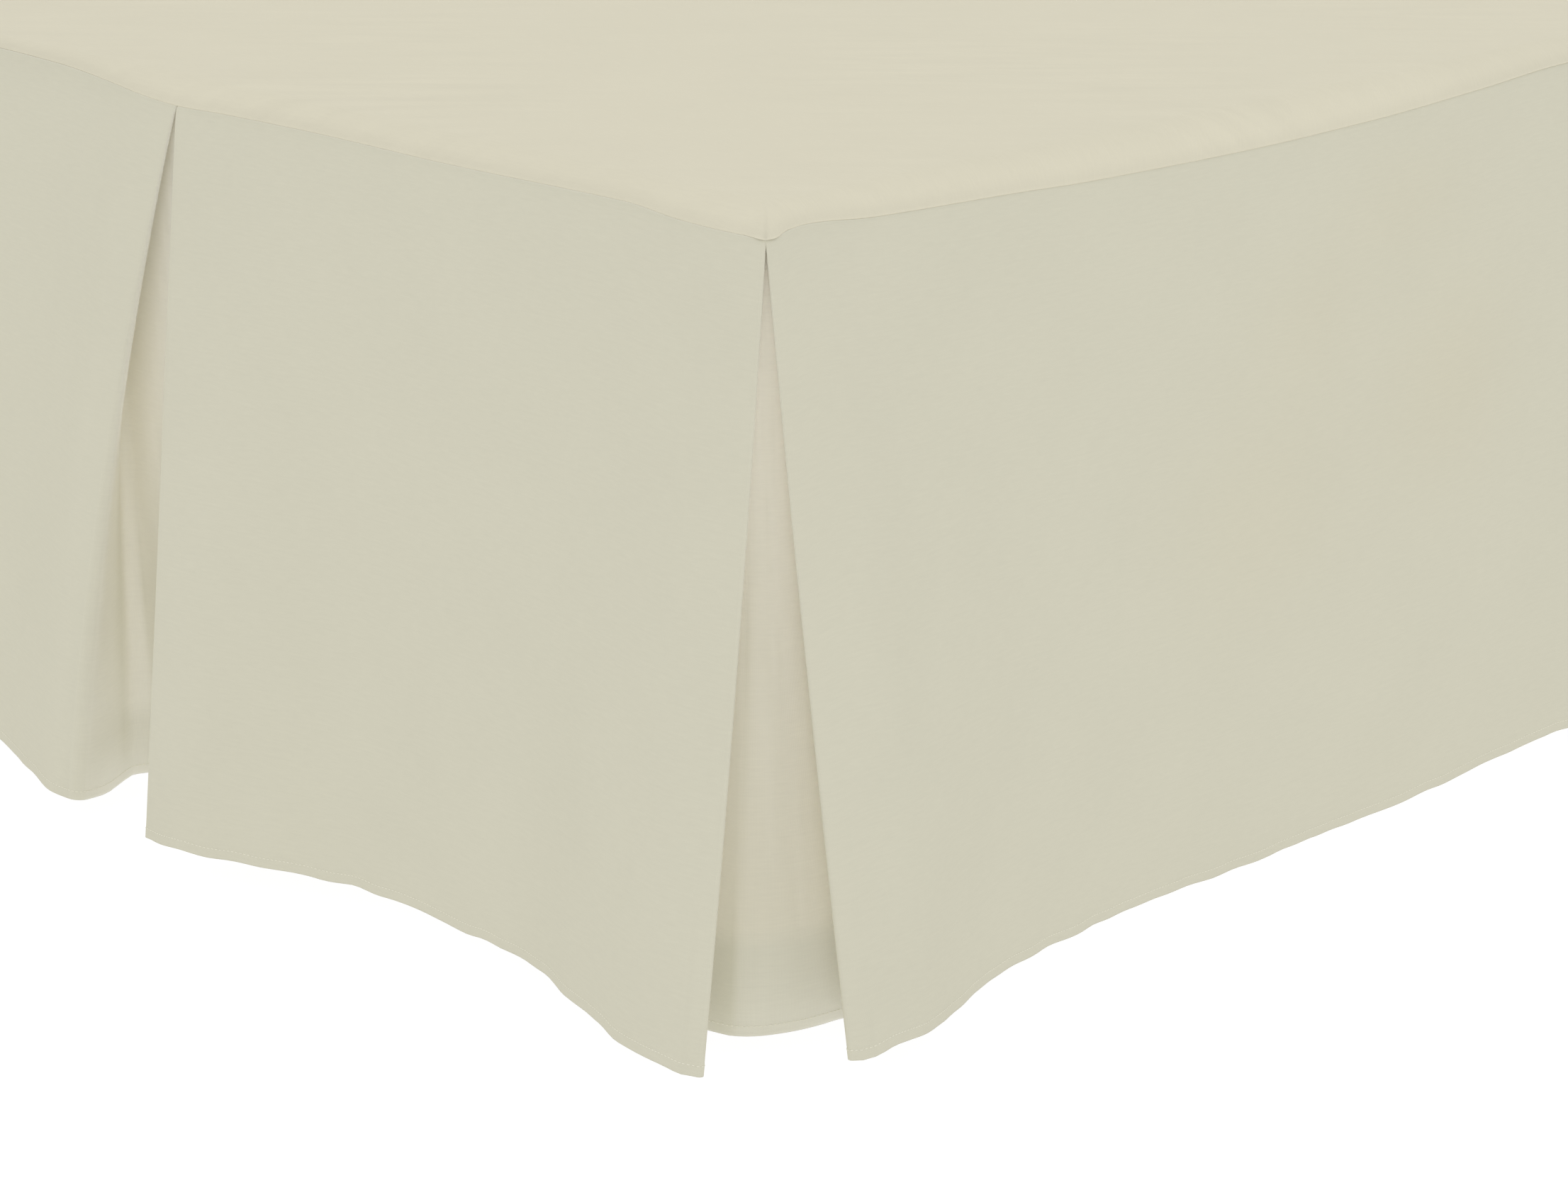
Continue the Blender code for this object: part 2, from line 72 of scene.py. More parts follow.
FOLD_STEPS = 5
RETURN_STEPS = 6
FOLD_CLEARANCE = 0.003  # from a fold to the panel's next column, at the hem
UNDERLAY_STEPS = 20
CORNER_STEPS = 12
NEAR_SPACING, FAR_SPACING = 0.0055, 0.012  # between the skirt's columns, seen close and elsewhere
PLATFORM_SPACING = 0.008
ROLL_STEPS = 12
ROLL_CROWDING = 1.6  # of its steps towards the seam; at 1 they are even
DROP_SPACING = 0.0125  # between the skirt's rows, away from the seam and the hem
SEAM_ROWS = (0.0, 0.0004, 0.0009, 0.0015, 0.0023, 0.0035, 0.005, 0.0075, 0.011, 0.016, 0.022, 0.030)
HEM_ROWS = (0.0, 0.0012, 0.0028, 0.0044, 0.0052, 0.0058, 0.0066, 0.0085, 0.013, 0.019)  # above the hem

# ---- small forms; a seed picks one of the noise's patterns

CLOTH_THICKNESS = 0.0009
HEM_THICKNESS = 0.0012
HEM_HEIGHT = 0.0058  # of the folded band
HEM_STEP = 0.0008  # of the drop in which the band's thickness sets in
HEAD_HEM = 0.010  # height of the band at the platform's head end
STITCH_INSET = 0.0006  # from a band's inner edge to its stitches
SEAM_CURL, SEAM_CURL_HEIGHT = 0.0004, 0.0018
SUNK_HEIGHT = 0.010
SWELL, SWELL_ACROSS, SWELL_DOWN, SWELL_SEED = 0.0005, 0.085, 0.240, 3.3  # the panels' slow waves
SWELL_EDGE = (0.010, 0.070)  # distances from a fold over which the waves set in
SWELL_TOP = (0.010, 0.080)  # the same from the seam
PUCKER, PUCKER_PITCH, PUCKER_HEIGHT, PUCKER_SEED = 0.00018, 0.009, 0.012, 8.1  # gathers under the seam
PUCKER_TOP = 0.004
RIPPLE, RIPPLE_RISE = 0.0007, 0.0014  # of the hem, in and out and up and down
RIPPLE_PITCH, RIPPLE_HEIGHT = 0.019, 0.030
RIPPLE_SHARES = {"panel": 1.0, "underlay": 0.5, "return": 0.2, "fold": 0.2}
WRINKLE, WRINKLE_LENGTH, WRINKLE_PITCH, WRINKLE_SEED = 0.00035, 0.130, 0.026, 4.4  # of the platform
WRINKLE_WAY = math.radians(45)  # the way they run in plan, from +X
DRIFT, DRIFT_PITCH, DRIFT_SEED = 0.35, 0.30, 1.9  # how the wrinkles wander
PATCH_PITCH, PATCH_SEED = 0.22, 6.1  # of the areas with more of them
RIM_PUCKER, RIM_PUCKER_PITCH, RIM_PUCKER_REACH, RIM_PUCKER_SEED = 0.00025, 0.030, 0.060, 2.7

STITCH_PITCH = 0.0024
STITCH_LENGTH, STITCH_WIDTH, STITCH_HEIGHT = 0.0018, 0.00045, 0.00030
STITCH_SHOULDER, STITCH_SIDES = 0.28, 6  # the shoulder's place is a share of the length
STITCH_TILT, STITCH_SIZES, STITCH_SEED = 0.10, (0.92, 1.06), 7

# ---- shelter: cloth painted paler in a pleat, to make up for the light that a deep fold loses

RAYS, RAY_LIFT = 32, 0.0002
SHELTER_ROWS = 16
SHELTER_REACH = 12  # columns beside a pleat that may shade it
SHELTER_GAIN, SHELTER_POWER = 1.55, 1.4
SHELTER_TOP = (0.15, 0.60)  # shares of the drop over which a station's weight sets in
TURNING_SHARE = 0.55  # of its effect that the outer folds have at the top already
RETURN_SHELTER = 0.60  # weight of the outer folds, against 1 on a corner's underlay
MIDDLE_SHELTER = 0.95  # weight of the other underlays
OPEN_SHARE = 0.26  # how much less sheltered a pleat is at its open lower end
OPEN_POWER = 0.5  # added to SHELTER_POWER there
OPEN_FALL = 3  # how close to the hem that is
UNBACKED_SHARE = 0.32  # how much less painted light below the base, where nothing is behind the cloth
UNBACKED_EDGE = 0.003
BEHIND_SHADE, BEHIND_POWER = 0.31, 6  # painted shadow: how much less painted light where all back along the cloth is hidden
BEHIND_TOP = (0.40, 0.75)  # shares of the drop over which the shade sets in
CORNER_BEHIND_TOP = (0.22, 0.52)
# painted light along the sewn edges, against the shade in the seams
SEAM_SHELTER, SEAM_SHELTER_REACH = 0.22, 0.00045
FLAT_SHELTER, FLAT_SHELTER_REACH = 0.20, 0.006  # painted light on the platform away from its rim, which leaves the rolled rim darker as painted shade
CORNER_X, CORNER_Y = 0.37, -0.82  # the foot corners' pleats lie beyond these
# painted show-through of the base's warm cover on the pleats' underlays
MIDDLE_WARMTH = 0.35  # of the other pleats' underlays, against 1 at a corner
WARMTH_EDGE = (-0.002, 0.004)  # above the base's underside, where the painted show-through sets in

# ---- camera

CAMERA_PLACE = (1.849, -2.268, 0.8495)
CAMERA_PITCH, CAMERA_YAW = math.radians(17.47), math.radians(45.52)
CAMERA_LENS = 97.65  # for Blender's own sensor width of 36 mm


def table(columns, *rows):
    """Rows of values whose columns have names; a row's last value may be left out where it is 0."""
    row_type = namedtuple("Row", columns, defaults=[0.0])
    return [row_type(*row) for row in rows]


# ---- the skirt's tables, as in the part

Face = namedtuple("Face", "origin travel out")
FACES = {
    "left": Face(Vector((-BASE_WIDTH / 2, FOOT_FACE_Y)), Vector((0, -1)), Vector((-1, 0))),
    "foot": Face(Vector((0, FOOT_FACE_Y)), Vector((1, 0)), Vector((0, -1))),
    "right": Face(Vector((BASE_WIDTH / 2, FOOT_FACE_Y)), Vector((0, 1)), Vector((1, 0))),
}

SEAM = {
    "left": table(
        "travel depth",
        (-1.9, 0.0125), (-1.45, 0.0165), (-1.15, 0.012), (-0.95, 0.0135), (-0.7, 0.011), (-0.4, 0.0185),
        (-0.18, 0.0145), (-0.04, 0.0112), (0.0, 0.0135),
    ),
    "foot": table(
        "travel depth",
        (-0.45, 0.0135), (-0.38, 0.0115), (-0.28, 0.006), (-0.18, 0.0042), (-0.115, 0.0052),
        (-0.075, 0.0074), (-0.025, 0.0117), (0.0, 0.0128), (0.045, 0.0117), (0.126, 0.0109),
        (0.22, 0.0115), (0.357, 0.0104), (0.397, 0.0131), (0.425, 0.0137), (0.45, 0.0135),
    ),
    "right": table(
        "travel depth",
        (0.0, 0.0135), (0.01, 0.0112), (0.021, 0.0104), (0.066, 0.0136), (0.166, 0.0168),
        (0.223, 0.0191), (0.353, 0.0208), (0.445, 0.0195), (0.542, 0.0154), (0.63, 0.0112),
        (0.78, 0.0115), (0.95, 0.0138), (1.2, 0.017), (1.55, 0.012), (1.9, 0.0125),
    ),
}

hem_rows = partial(table, "share travel out bow")
PANELS = table(
    "face start end spacing rows",
    ("left", -1.897, -0.951, FAR_SPACING, hem_rows(
        (0.0, -1.892, 0.02), (0.1, -1.8, 0.016), (0.32, -1.59, 0.027, 0.2), (0.55, -1.375, 0.014),
        (0.78, -1.155, 0.024), (0.9, -1.05, 0.05, 0.1), (0.97, -0.995, 0.066, 0.2),
        (1.0, -0.978, 0.06, 0.2),
    )),
    ("left", -0.949, 0.0055, FAR_SPACING, hem_rows(
        (0.0, -0.915, 0.064, 0.1), (0.04, -0.885, 0.068), (0.14, -0.805, 0.043), (0.34, -0.625, 0.018),
        (0.56, -0.42, 0.024, 0.1), (0.76, -0.225, 0.026), (0.9, -0.095, 0.058), (0.97, -0.028, 0.08),
        (1.0, -0.006, 0.07, 0.1),
    )),
    ("foot", -0.4555, -0.0007, NEAR_SPACING, hem_rows(
        (0.0, -0.476, 0.074, 0.1), (0.05, -0.45, 0.082), (0.18, -0.39, 0.062), (0.35, -0.312, 0.034),
        (0.54, -0.228, 0.031, 0.1), (0.74, -0.144, 0.045, 0.2), (0.86, -0.091, 0.062, 0.3),
        (0.94, -0.057, 0.069, 0.5), (1.0, -0.04, 0.066, 0.5),
    )),
    ("foot", 0.0007, 0.4555, NEAR_SPACING, hem_rows(
        (0.0, 0.039, 0.076), (0.05, 0.062, 0.078), (0.17, 0.113, 0.058), (0.28, 0.16, 0.038),
        (0.4, 0.21, 0.031), (0.58, 0.298, 0.037), (0.79, 0.396, 0.07), (0.9, 0.444, 0.083),
        (0.97, 0.477, 0.086, -0.18), (1.0, 0.486, 0.079, -0.22),
    )),
    ("right", -0.0055, 0.949, NEAR_SPACING, hem_rows(
        (0.0, -0.011, 0.069, -0.12), (0.015, 0.001, 0.078, -0.1), (0.045, 0.029, 0.075),
        (0.115, 0.087, 0.052), (0.16, 0.126, 0.036), (0.235, 0.197, 0.021), (0.305, 0.26, 0.015),
        (0.43, 0.379, 0.015), (0.56, 0.504, 0.021), (0.69, 0.628, 0.02), (0.8, 0.73, 0.03),
        (0.92, 0.85, 0.058, 0.1), (0.98, 0.905, 0.068, 0.2), (1.0, 0.918, 0.062, 0.2),
    )),
    ("right", 0.951, 1.897, FAR_SPACING, hem_rows(
        (0.0, 0.977, 0.064, 0.2), (0.03, 1.0, 0.068, 0.1), (0.13, 1.085, 0.044), (0.3, 1.24, 0.017),
        (0.52, 1.45, 0.026, 0.2), (0.76, 1.67, 0.014), (1.0, 1.89, 0.022),
    )),
)

PLEATS = table(
    "outer_radius inner_radius first_inner second_inner",
    (0.002, 0.0018, (-1.015, 0.01), (-0.88, 0.01)),
    (0.002, 0.0018, (-0.06, 0.03), (-0.424, 0.034)),
    (0.007, 0.013, (-0.049, 0.0095), (0.07, 0.008)),
    (0.002, 0.0018, (0.424, 0.034), (0.053, 0.026)),
    (0.002, 0.0018, (0.884, 0.01), (1.018, 0.01)),
)

# ---- tables of the small forms

# How far the seam lies sunk behind the platform's edge along each side.
SUNK = {
    "left": table("travel sunk", (-1.9, 0.0005), (-0.6, 0.0008), (-0.1, 0.0002), (0.0, 0.0)),
    "foot": table("travel sunk", (-0.45, 0.0), (-0.25, 0.0002), (0.45, 0.0)),
    "right": table(
        "travel sunk",
        (0.0, 0.0), (0.03, 0.0002), (0.1, 0.0004), (0.35, 0.0005), (0.62, 0.0006), (1.9, 0.0005),
    ),
}

# Creases of the panels: a ridge where height is above 0, a trough where it is below.
CREASES = table(
    "face from_travel from_down to_travel to_down width height",
    ("foot", 0.055, 0.02, 0.058, 0.25, 0.012, -0.0006),
    ("foot", 0.012, 0.03, 0.03, 0.33, 0.01, 0.0005),
    ("foot", 0.143, 0.008, 0.152, 0.055, 0.004, -0.0003),
    ("foot", 0.428, 0.04, 0.452, 0.36, 0.014, 0.0007),
    ("foot", -0.1, 0.02, -0.108, 0.3, 0.014, -0.0008),
    ("foot", -0.03, 0.01, -0.052, 0.2, 0.01, 0.0007),
    ("right", 0.026, 0.03, 0.04, 0.35, 0.016, 0.0007),
    ("right", 0.062, 0.015, 0.075, 0.22, 0.012, -0.0004),
)
CREASE_START = (-0.1, 0.25)  # shares of its length over which a crease sets in and runs out

# Soft places where the base's warmer cover shows through the cloth, painted in as painted show-through.
BLUSHES = table(
    "face travel down across tall strength",
    ("right", 0.4, 0.1, 0.05, 0.04, 0.5),
    ("right", 0.52, 0.16, 0.06, 0.06, 0.7),
    ("right", 0.36, 0.2, 0.07, 0.06, 0.6),
    ("right", 0.48, 0.05, 0.05, 0.03, 0.5),
    ("right", 1.3, 0.18, 0.1, 0.08, 0.6),
    ("left", -1.35, 0.2, 0.12, 0.08, 0.6),
    ("left", -0.5, 0.18, 0.1, 0.09, 0.6),
)

# The hem's ripples are a sum of waves, each so much longer than RIPPLE_PITCH.
OUT_WAVES = table("share longer row seed", (1.0, 1.0, 1.7, 5.2), (0.7, 2.6, 4.0, 9.4))
RISE_WAVES = table("share longer row seed", (1.0, 1.0, 6.6, 2.9), (0.5, 2.3, 2.0, 7.7))


# ---- curves and arrays


def smooth_value(rows, key, value, at):
    """Value at a place between a table's rows, on a cubic through them that doesn't overshoot."""
    places, values = ([getattr(row, name) for row in rows] for name in (key, value))
    at = min(max(at, places[0]), places[-1])
    last = len(rows) - 1
    slopes = [(values[i + 1] - values[i]) / (places[i + 1] - places[i]) for i in range(last)]

    def tangent(i):
        if i in (0, last):
            return slopes[min(i, last - 1)]
        before, after = slopes[i - 1], slopes[i]
        return 2 * before * after / (before + after) if before * after > 0 else 0.0

    i = max(j for j in range(last) if places[j] <= at)
    span = places[i + 1] - places[i]
    t = (at - places[i]) / span
    return (
        values[i] * (1 + 2 * t) * (1 - t) ** 2
        + values[i + 1] * t * t * (3 - 2 * t)
        + span * tangent(i) * t * (1 - t) ** 2
        - span * tangent(i + 1) * t * t * (1 - t)
    )


def ease(value, low, high):
    """0 below low, 1 above high, smooth between; value may be an array."""
    share = np.clip((np.asarray(value, dtype=float) - low) / (high - low), 0.0, 1.0)
    return share * share * (3 - 2 * share)


def hill(value, reach):
    """1 at 0, falling off smoothly over a reach to both sides."""
    return np.exp(-((value / reach) ** 2))


def wave(x, y, seed):
    """Smooth noise from -1 to 1 at a place, one of many patterns."""
    return noise.noise(Vector((x, y, seed)))


def unit(vectors):
    length = np.linalg.norm(vectors, axis=-1, keepdims=True)
    return vectors / np.maximum(length, 1e-12)


def gather(rows, key):
    """One named value of all the rows, as an array."""
    return np.array([getattr(row, key) for row in rows])


def distances(line):
    """Distance along a line of points to each of them."""
    steps = np.linalg.norm(np.diff(line, axis=0), axis=1)
    return np.concatenate([[0.0], np.cumsum(steps)])


# ---- the skirt's lines, as in the part

# A line of the skirt from seam to hem.  edge is the distance from the panel's nearest fold, and the last
# field weighs how much paler the cloth is painted there, as painted light that makes up for the shade in a
# pleat.
Station = namedtuple("Station", "seam hem normal depth bow face travel layer edge shelter")


def on_face(face, travel, out):
    side = FACES[face]
    return side.origin + side.travel * travel + side.out * out


def seam_depth(face, travel):
    return smooth_value(SEAM[face], "travel", "depth", travel)


def station(face, seam, hem, bow, layer, edge=0.0, shelter=1.0):
    """A station whose seam and hem are (travel, out) pairs on a face."""
    ends = on_face(face, *seam), on_face(face, *hem)
    depth = seam_depth(face, seam[0])
    return Station(*ends, FACES[face].out, depth, bow, face, seam[0], layer, edge, shelter)


def panel_stations(panel):
    steps = math.ceil((panel.end - panel.start) / panel.spacing)
    stations = []
    for step in range(steps + 1):
        share = step / steps
        travel = panel.start + share * (panel.end - panel.start)
        hem = [smooth_value(panel.rows, "share", column, share) for column in ("travel", "out", "bow")]
        edge = min(travel - panel.start, panel.end - travel)
        stations.append(station(panel.face, (travel, FRONT_OUT), hem[:2], hem[2], "panel", edge))
    return stations


def heading(start, end):
    return math.atan2(end[1] - start[1], end[0] - start[0])


def fold_arc(tip, arrive, leave, side, radius):
    """Points round a fold.  tip is its outermost point; side is 1 for a left turn, -1 for a right."""
    sweep = (side * (leave - arrive)) % math.tau
    middle = arrive + side * sweep / 2
    centre = (tip[0] - side * radius * math.sin(middle), tip[1] + side * radius * math.cos(middle))
    points = []
    for step in range(FOLD_STEPS + 1):
        angle = arrive + side * sweep * step / FOLD_STEPS
        x, y = math.sin(angle), -math.cos(angle)
        points.append((centre[0] + side * radius * x, centre[1] + side * radius * y))
    return points


def between(first, second, steps, layer):
    """Stations strictly between two others, evenly spaced."""
    stations = []
    for share in [step / steps for step in range(1, steps)]:
        mixed = {
            key: getattr(first, key) + share * (getattr(second, key) - getattr(first, key))
            for key in ("depth", "bow", "travel", "shelter")
        }
        seam, hem = first.seam.lerp(second.seam, share), first.hem.lerp(second.hem, share)
        stations.append(first._replace(seam=seam, hem=hem, layer=layer, **mixed))
    return stations


def corner_hem(first, second, share):
    """Point on the curve that an underlay's hem takes round a corner, from one station to another."""
    start = first.hem + FACES[first.face].travel * UNDERLAY_SWING
    end = second.hem - FACES[second.face].travel * UNDERLAY_SWING
    rest = 1 - share
    inner = start * 3 * rest**2 * share + end * 3 * rest * share**2
    return first.hem * rest**3 + inner + second.hem * share**3


def corner_stations(first, second):
    """The underlay of a corner pleat between its two inner folds, round the base's upright edge."""
    out_in, out_on = FACES[first.face].out, FACES[second.face].out
    axis_x = (out_in + out_on).x * (BASE_WIDTH / 2 - CORNER_BEND_RADIUS)
    axis = Vector((axis_x, FOOT_FACE_Y + CORNER_BEND_RADIUS))
    arc = []
    for step in range(CORNER_STEPS + 1):
        angle = math.pi / 2 * step / CORNER_STEPS
        normal = out_in * math.cos(angle) + out_on * math.sin(angle)
        arc.append((axis + normal * (CORNER_BEND_RADIUS + UNDERLAY_OUT), normal))
    shares = [step / RETURN_STEPS for step in range(1, RETURN_STEPS)]
    lead_in = [(first.seam.lerp(arc[0][0], share), out_in) for share in shares]
    lead_out = [(arc[-1][0].lerp(second.seam, share), out_on) for share in shares]
    seams = lead_in + arc + lead_out
    stations = []
    for index, (seam, normal) in enumerate(seams):
        share = (index + 1) / (len(seams) + 1)
        near = first if share < 0.5 else second
        hem = corner_hem(first, second, share)
        depth = first.depth + share * (second.depth - first.depth)
        stations.append(near._replace(seam=seam, hem=hem, normal=normal, depth=depth))
    return stations


def pleat_stations(pleat, before, after):
    """An inverted box pleat: outer fold, return, inner fold, underlay, inner fold, return, outer fold."""
    before_hem, first_hem = [(row.travel, row.out) for row in before.rows[-2:]]
    second_hem, after_hem = [(row.travel, row.out) for row in after.rows[:2]]
    back, forth = heading(first_hem, pleat.first_inner), heading(pleat.second_inner, second_hem)
    outer = ((FRONT_OUT + RETURN_OUT) / 2, "fold", RETURN_SHELTER)
    straight = before.face == after.face
    inner = ((RETURN_OUT + UNDERLAY_OUT) / 2, "underlay", MIDDLE_SHELTER if straight else 1.0)

    def fold(panel, side, travel, seam_turn, hem_tip, hem_turn, radius, bow=0.0):
        """Stations round an outer fold, where side is -1, or an inner one; a turn joins two headings."""
        out, layer, shelter = outer if side < 0 else inner
        seams = fold_arc((travel, out), *seam_turn, side, LAYER_PITCH / 2)
        hems = fold_arc(hem_tip, *hem_turn, side, radius)
        return [station(panel.face, *ends, bow, layer, shelter=shelter) for ends in zip(seams, hems)]

    fold_a = fold(
        before, -1, before.end, (0, math.pi), first_hem, (heading(before_hem, first_hem), back),
        pleat.outer_radius, before.rows[-1].bow,
    )
    fold_b = fold(
        before, 1, before.end - PLEAT_DEPTH, (math.pi, 0), pleat.first_inner, (back, 0),
        pleat.inner_radius,
    )
    fold_c = fold(
        after, 1, after.start + PLEAT_DEPTH, (0, math.pi), pleat.second_inner, (0, forth),
        SECOND_INNER_RADIUS,
    )
    fold_d = fold(
        after, -1, after.start, (math.pi, 0), second_hem, (forth, heading(second_hem, after_hem)),
        SECOND_OUTER_RADIUS, after.rows[0].bow,
    )
    if straight:
        underlay = between(fold_b[-1], fold_c[0], UNDERLAY_STEPS, "underlay")
    else:
        underlay = corner_stations(fold_b[-1], fold_c[0])
    inward = between(fold_a[-1], fold_b[0], RETURN_STEPS, "return")
    outward = between(fold_c[-1], fold_d[0], RETURN_STEPS, "return")
    return fold_a + inward + fold_b + underlay + fold_c + outward + fold_d


def clear_of(stations, fold_end, fold_next):
    """The stations of a panel whose hem stays clear of a fold that starts or ends at fold_end."""
    away = (fold_end.hem - fold_next.hem).normalized()
    return [place for place in stations if (place.hem - fold_end.hem).dot(away) > FOLD_CLEARANCE]


def skirt_stations():
    """The whole strip in the order of travel; a pleat's outer folds stand in for its panels' ends."""
    pleats = [pleat_stations(*row) for row in zip(PLEATS, PANELS, PANELS[1:])]
    stations = []
    for panel, behind, ahead in zip(PANELS, [[], *pleats], [*pleats, []]):
        places = panel_stations(panel)
        if behind:
            places = clear_of(places[1:], behind[-1], behind[-2])
        if ahead:
            places = clear_of(places[:-1], ahead[0], ahead[1])
        stations += places + ahead
    return stations


# ---- meshes of cloth


def grid_normals(points):
    """Outward normals of a grid whose columns run along the travel and whose rows run down."""
    return unit(np.cross(np.gradient(points, axis=1), np.gradient(points, axis=0)))


def grid_faces(columns, rows):
    """Quads of a grid of vertices stored column by column, facing the outside."""
    column, row = np.meshgrid(np.arange(columns - 1), np.arange(rows - 1), indexing="ij")
    corner = (column * rows + row).ravel()
    return np.stack([corner, corner + 1, corner + rows + 1, corner + rows], axis=1)


def vertex_normals(points, faces):
    """Area-weighted normals at the vertices of some quads, of which one corner may be doubled."""
    normals = np.zeros_like(points)
    across = points[faces[:, 2]] - points[faces[:, 0]]
    other = points[faces[:, 3]] - points[faces[:, 1]]
    for corner in range(4):
        np.add.at(normals, faces[:, corner], np.cross(across, other))
    return unit(normals)


def add_object(name, data):
    obj = bpy.data.objects.new(name, data)
    bpy.context.scene.collection.objects.link(obj)
    return obj


def new_mesh_object(name, vertices, faces, material):
    mesh = bpy.data.meshes.new(name)
    mesh.from_pydata([tuple(vertex) for vertex in vertices], [], faces)
    mesh.materials.append(material)
    mesh.shade_smooth()
    mesh.update()
    return add_object(name, mesh)


def rim_of(faces):
    """The open edges of some faces, each in its face's direction."""
    edges = np.concatenate([faces[:, [0, 1]], faces[:, [1, 2]], faces[:, [2, 3]], faces[:, [3, 0]]])
    edges = edges[edges[:, 0] != edges[:, 1]].tolist()
    known = {(a, b) for a, b in edges}
    return [(a, b) for a, b in edges if (b, a) not in known]


def closed_sheet(name, middle, normals, thickness, faces, material, uv, paint):
    """A closed sheet round a middle surface.  uv and paint hold a value for each of its vertices."""
    half = (thickness / 2)[:, None]
    count = len(middle)
    polygons = [[i for k, i in enumerate(face) if i != face[k - 1]] for face in faces.tolist()]
    polygons += [[i + count for i in reversed(face)] for face in polygons]
    polygons += [(b, a, a + count, b + count) for a, b in rim_of(faces)]
    vertices = np.concatenate([middle + normals * half, middle - normals * half])
    obj = new_mesh_object(name, vertices, polygons, material)
    mesh = obj.data
    layer = mesh.uv_layers.new(name="cloth_metres")
    corner = np.empty(len(mesh.loops), dtype=np.int32)
    mesh.loops.foreach_get("vertex_index", corner)
    layer.data.foreach_set("uv", np.concatenate([uv, uv])[corner].astype(np.float32).ravel())
    for key, values in paint.items():
        attribute = mesh.attributes.new(key, "FLOAT", "POINT")
        attribute.data.foreach_set("value", np.concatenate([values, values]).astype(np.float32))
    return obj


# ---- the skirt


def drop_rows():
    """Distances below the seam at which the skirt has a row."""
    start, end = SEAM_ROWS[-1], DROP - HEM_ROWS[-1]
    steps = round((end - start) / DROP_SPACING)
    middle = [start + (end - start) * step / steps for step in range(1, steps)]
    return np.array(list(SEAM_ROWS) + middle + [DROP - rise for rise in reversed(HEM_ROWS)])


def skirt_surface(stations, drops):
    """The plain hanging surface, as in the part, as an array of columns by rows."""
    seam, hem, normal = (gather(stations, key)[:, None] for key in ("seam", "hem", "normal"))
    depth, bow = (gather(stations, key)[:, None] for key in ("depth", "bow"))
    fall = drops / DROP
    swing = fall + bow * fall * (1 - fall)
    below = np.minimum(depth + fall * DROP, ROLL_RADIUS)
    roll = np.sqrt(ROLL_RADIUS**2 - (ROLL_RADIUS - below) ** 2) - ROLL_RADIUS
    plan = seam + (hem - seam) * swing[..., None] + normal * roll[..., None]
    height = np.sqrt(DROP**2 - ((hem - seam) ** 2).sum(-1))
    z = CLOTH_TOP - depth - SEAM_GAP - fall * height
    return np.concatenate([plan, z[..., None]], axis=-1)


def on_panels(stations, face):
    """Which of the skirt's columns lie on the panels of one side."""
    return ((gather(stations, "layer") == "panel") & (gather(stations, "face") == face))[:, None]


def face_travel(points, face):
    """Travel of each point of the skirt along one side."""
    side = FACES[face]
    return (points[..., :2] - np.array(side.origin)) @ np.array(side.travel)


def at_corner(points):
    """Which points of the skirt belong to a foot corner's pleat."""
    return (np.abs(points[..., 0]) > CORNER_X) & (points[..., 1] < CORNER_Y)


def seam_curl(distance):
    """How far a sewn edge turns in, at a distance from it."""
    return SEAM_CURL * np.clip(1 - distance / SEAM_CURL_HEIGHT, 0, 1) ** 2


def seam_pull(stations, drops):
    """How far each point of the skirt is drawn in towards the base, near the seam."""
    sunk = np.array([smooth_value(SUNK[s.face], "travel", "sunk", s.travel) for s in stations])
    return sunk[:, None] * hill(drops, SUNK_HEIGHT) + seam_curl(drops)


def crease_height(points, stations, drops):
    """Sum of the table's creases at each point of the panels."""
    total = np.zeros(points.shape[:2])
    for crease in CREASES:
        way = np.array([crease.to_travel - crease.from_travel, crease.to_down - crease.from_down])
        length = np.linalg.norm(way)
        way = way / length
        away = face_travel(points, crease.face) - crease.from_travel
        below = drops - crease.from_down
        along = away * way[0] + below * way[1]
        across = away * way[1] - below * way[0]
        low, high = (share * length for share in CREASE_START)
        ends = ease(along, low, high) * ease(length - along, low, high)
        total += crease.height * hill(across, crease.width) * ends * on_panels(stations, crease.face)
    return total


def hem_waves(waves, along):
    """Sum of a table's waves along the strip, as a column."""
    places = along / RIPPLE_PITCH
    values = [sum(w.share * wave(place / w.longer, w.row, w.seed) for w in waves) for place in places]
    return np.array(values)[:, None]


def skirt_relief(points, stations, drops, along):
    """How far the small forms move each point of the skirt out along the normal, and up."""
    layers = gather(stations, "layer")
    on_panel = (layers == "panel")[:, None]
    swell = [[wave(u / SWELL_ACROSS, down / SWELL_DOWN, SWELL_SEED) for down in drops] for u in along]
    swell_fade = ease(gather(stations, "edge"), *SWELL_EDGE)[:, None] * ease(drops, *SWELL_TOP)
    out = SWELL * np.array(swell) * swell_fade * on_panel
    pucker = np.array([wave(u / PUCKER_PITCH, 0.0, PUCKER_SEED) for u in along])[:, None]
    out += PUCKER * pucker * on_panel * hill(drops, PUCKER_HEIGHT) * ease(drops, 0.0, PUCKER_TOP)
    hem_fade = ease(drops, DROP - RIPPLE_HEIGHT, DROP)
    calm = np.array([RIPPLE_SHARES[layer] for layer in layers])[:, None]
    out += RIPPLE * hem_waves(OUT_WAVES, along) * calm * hem_fade
    out += crease_height(points, stations, drops)
    return out, RIPPLE_RISE * hem_waves(RISE_WAVES, along) * hem_fade


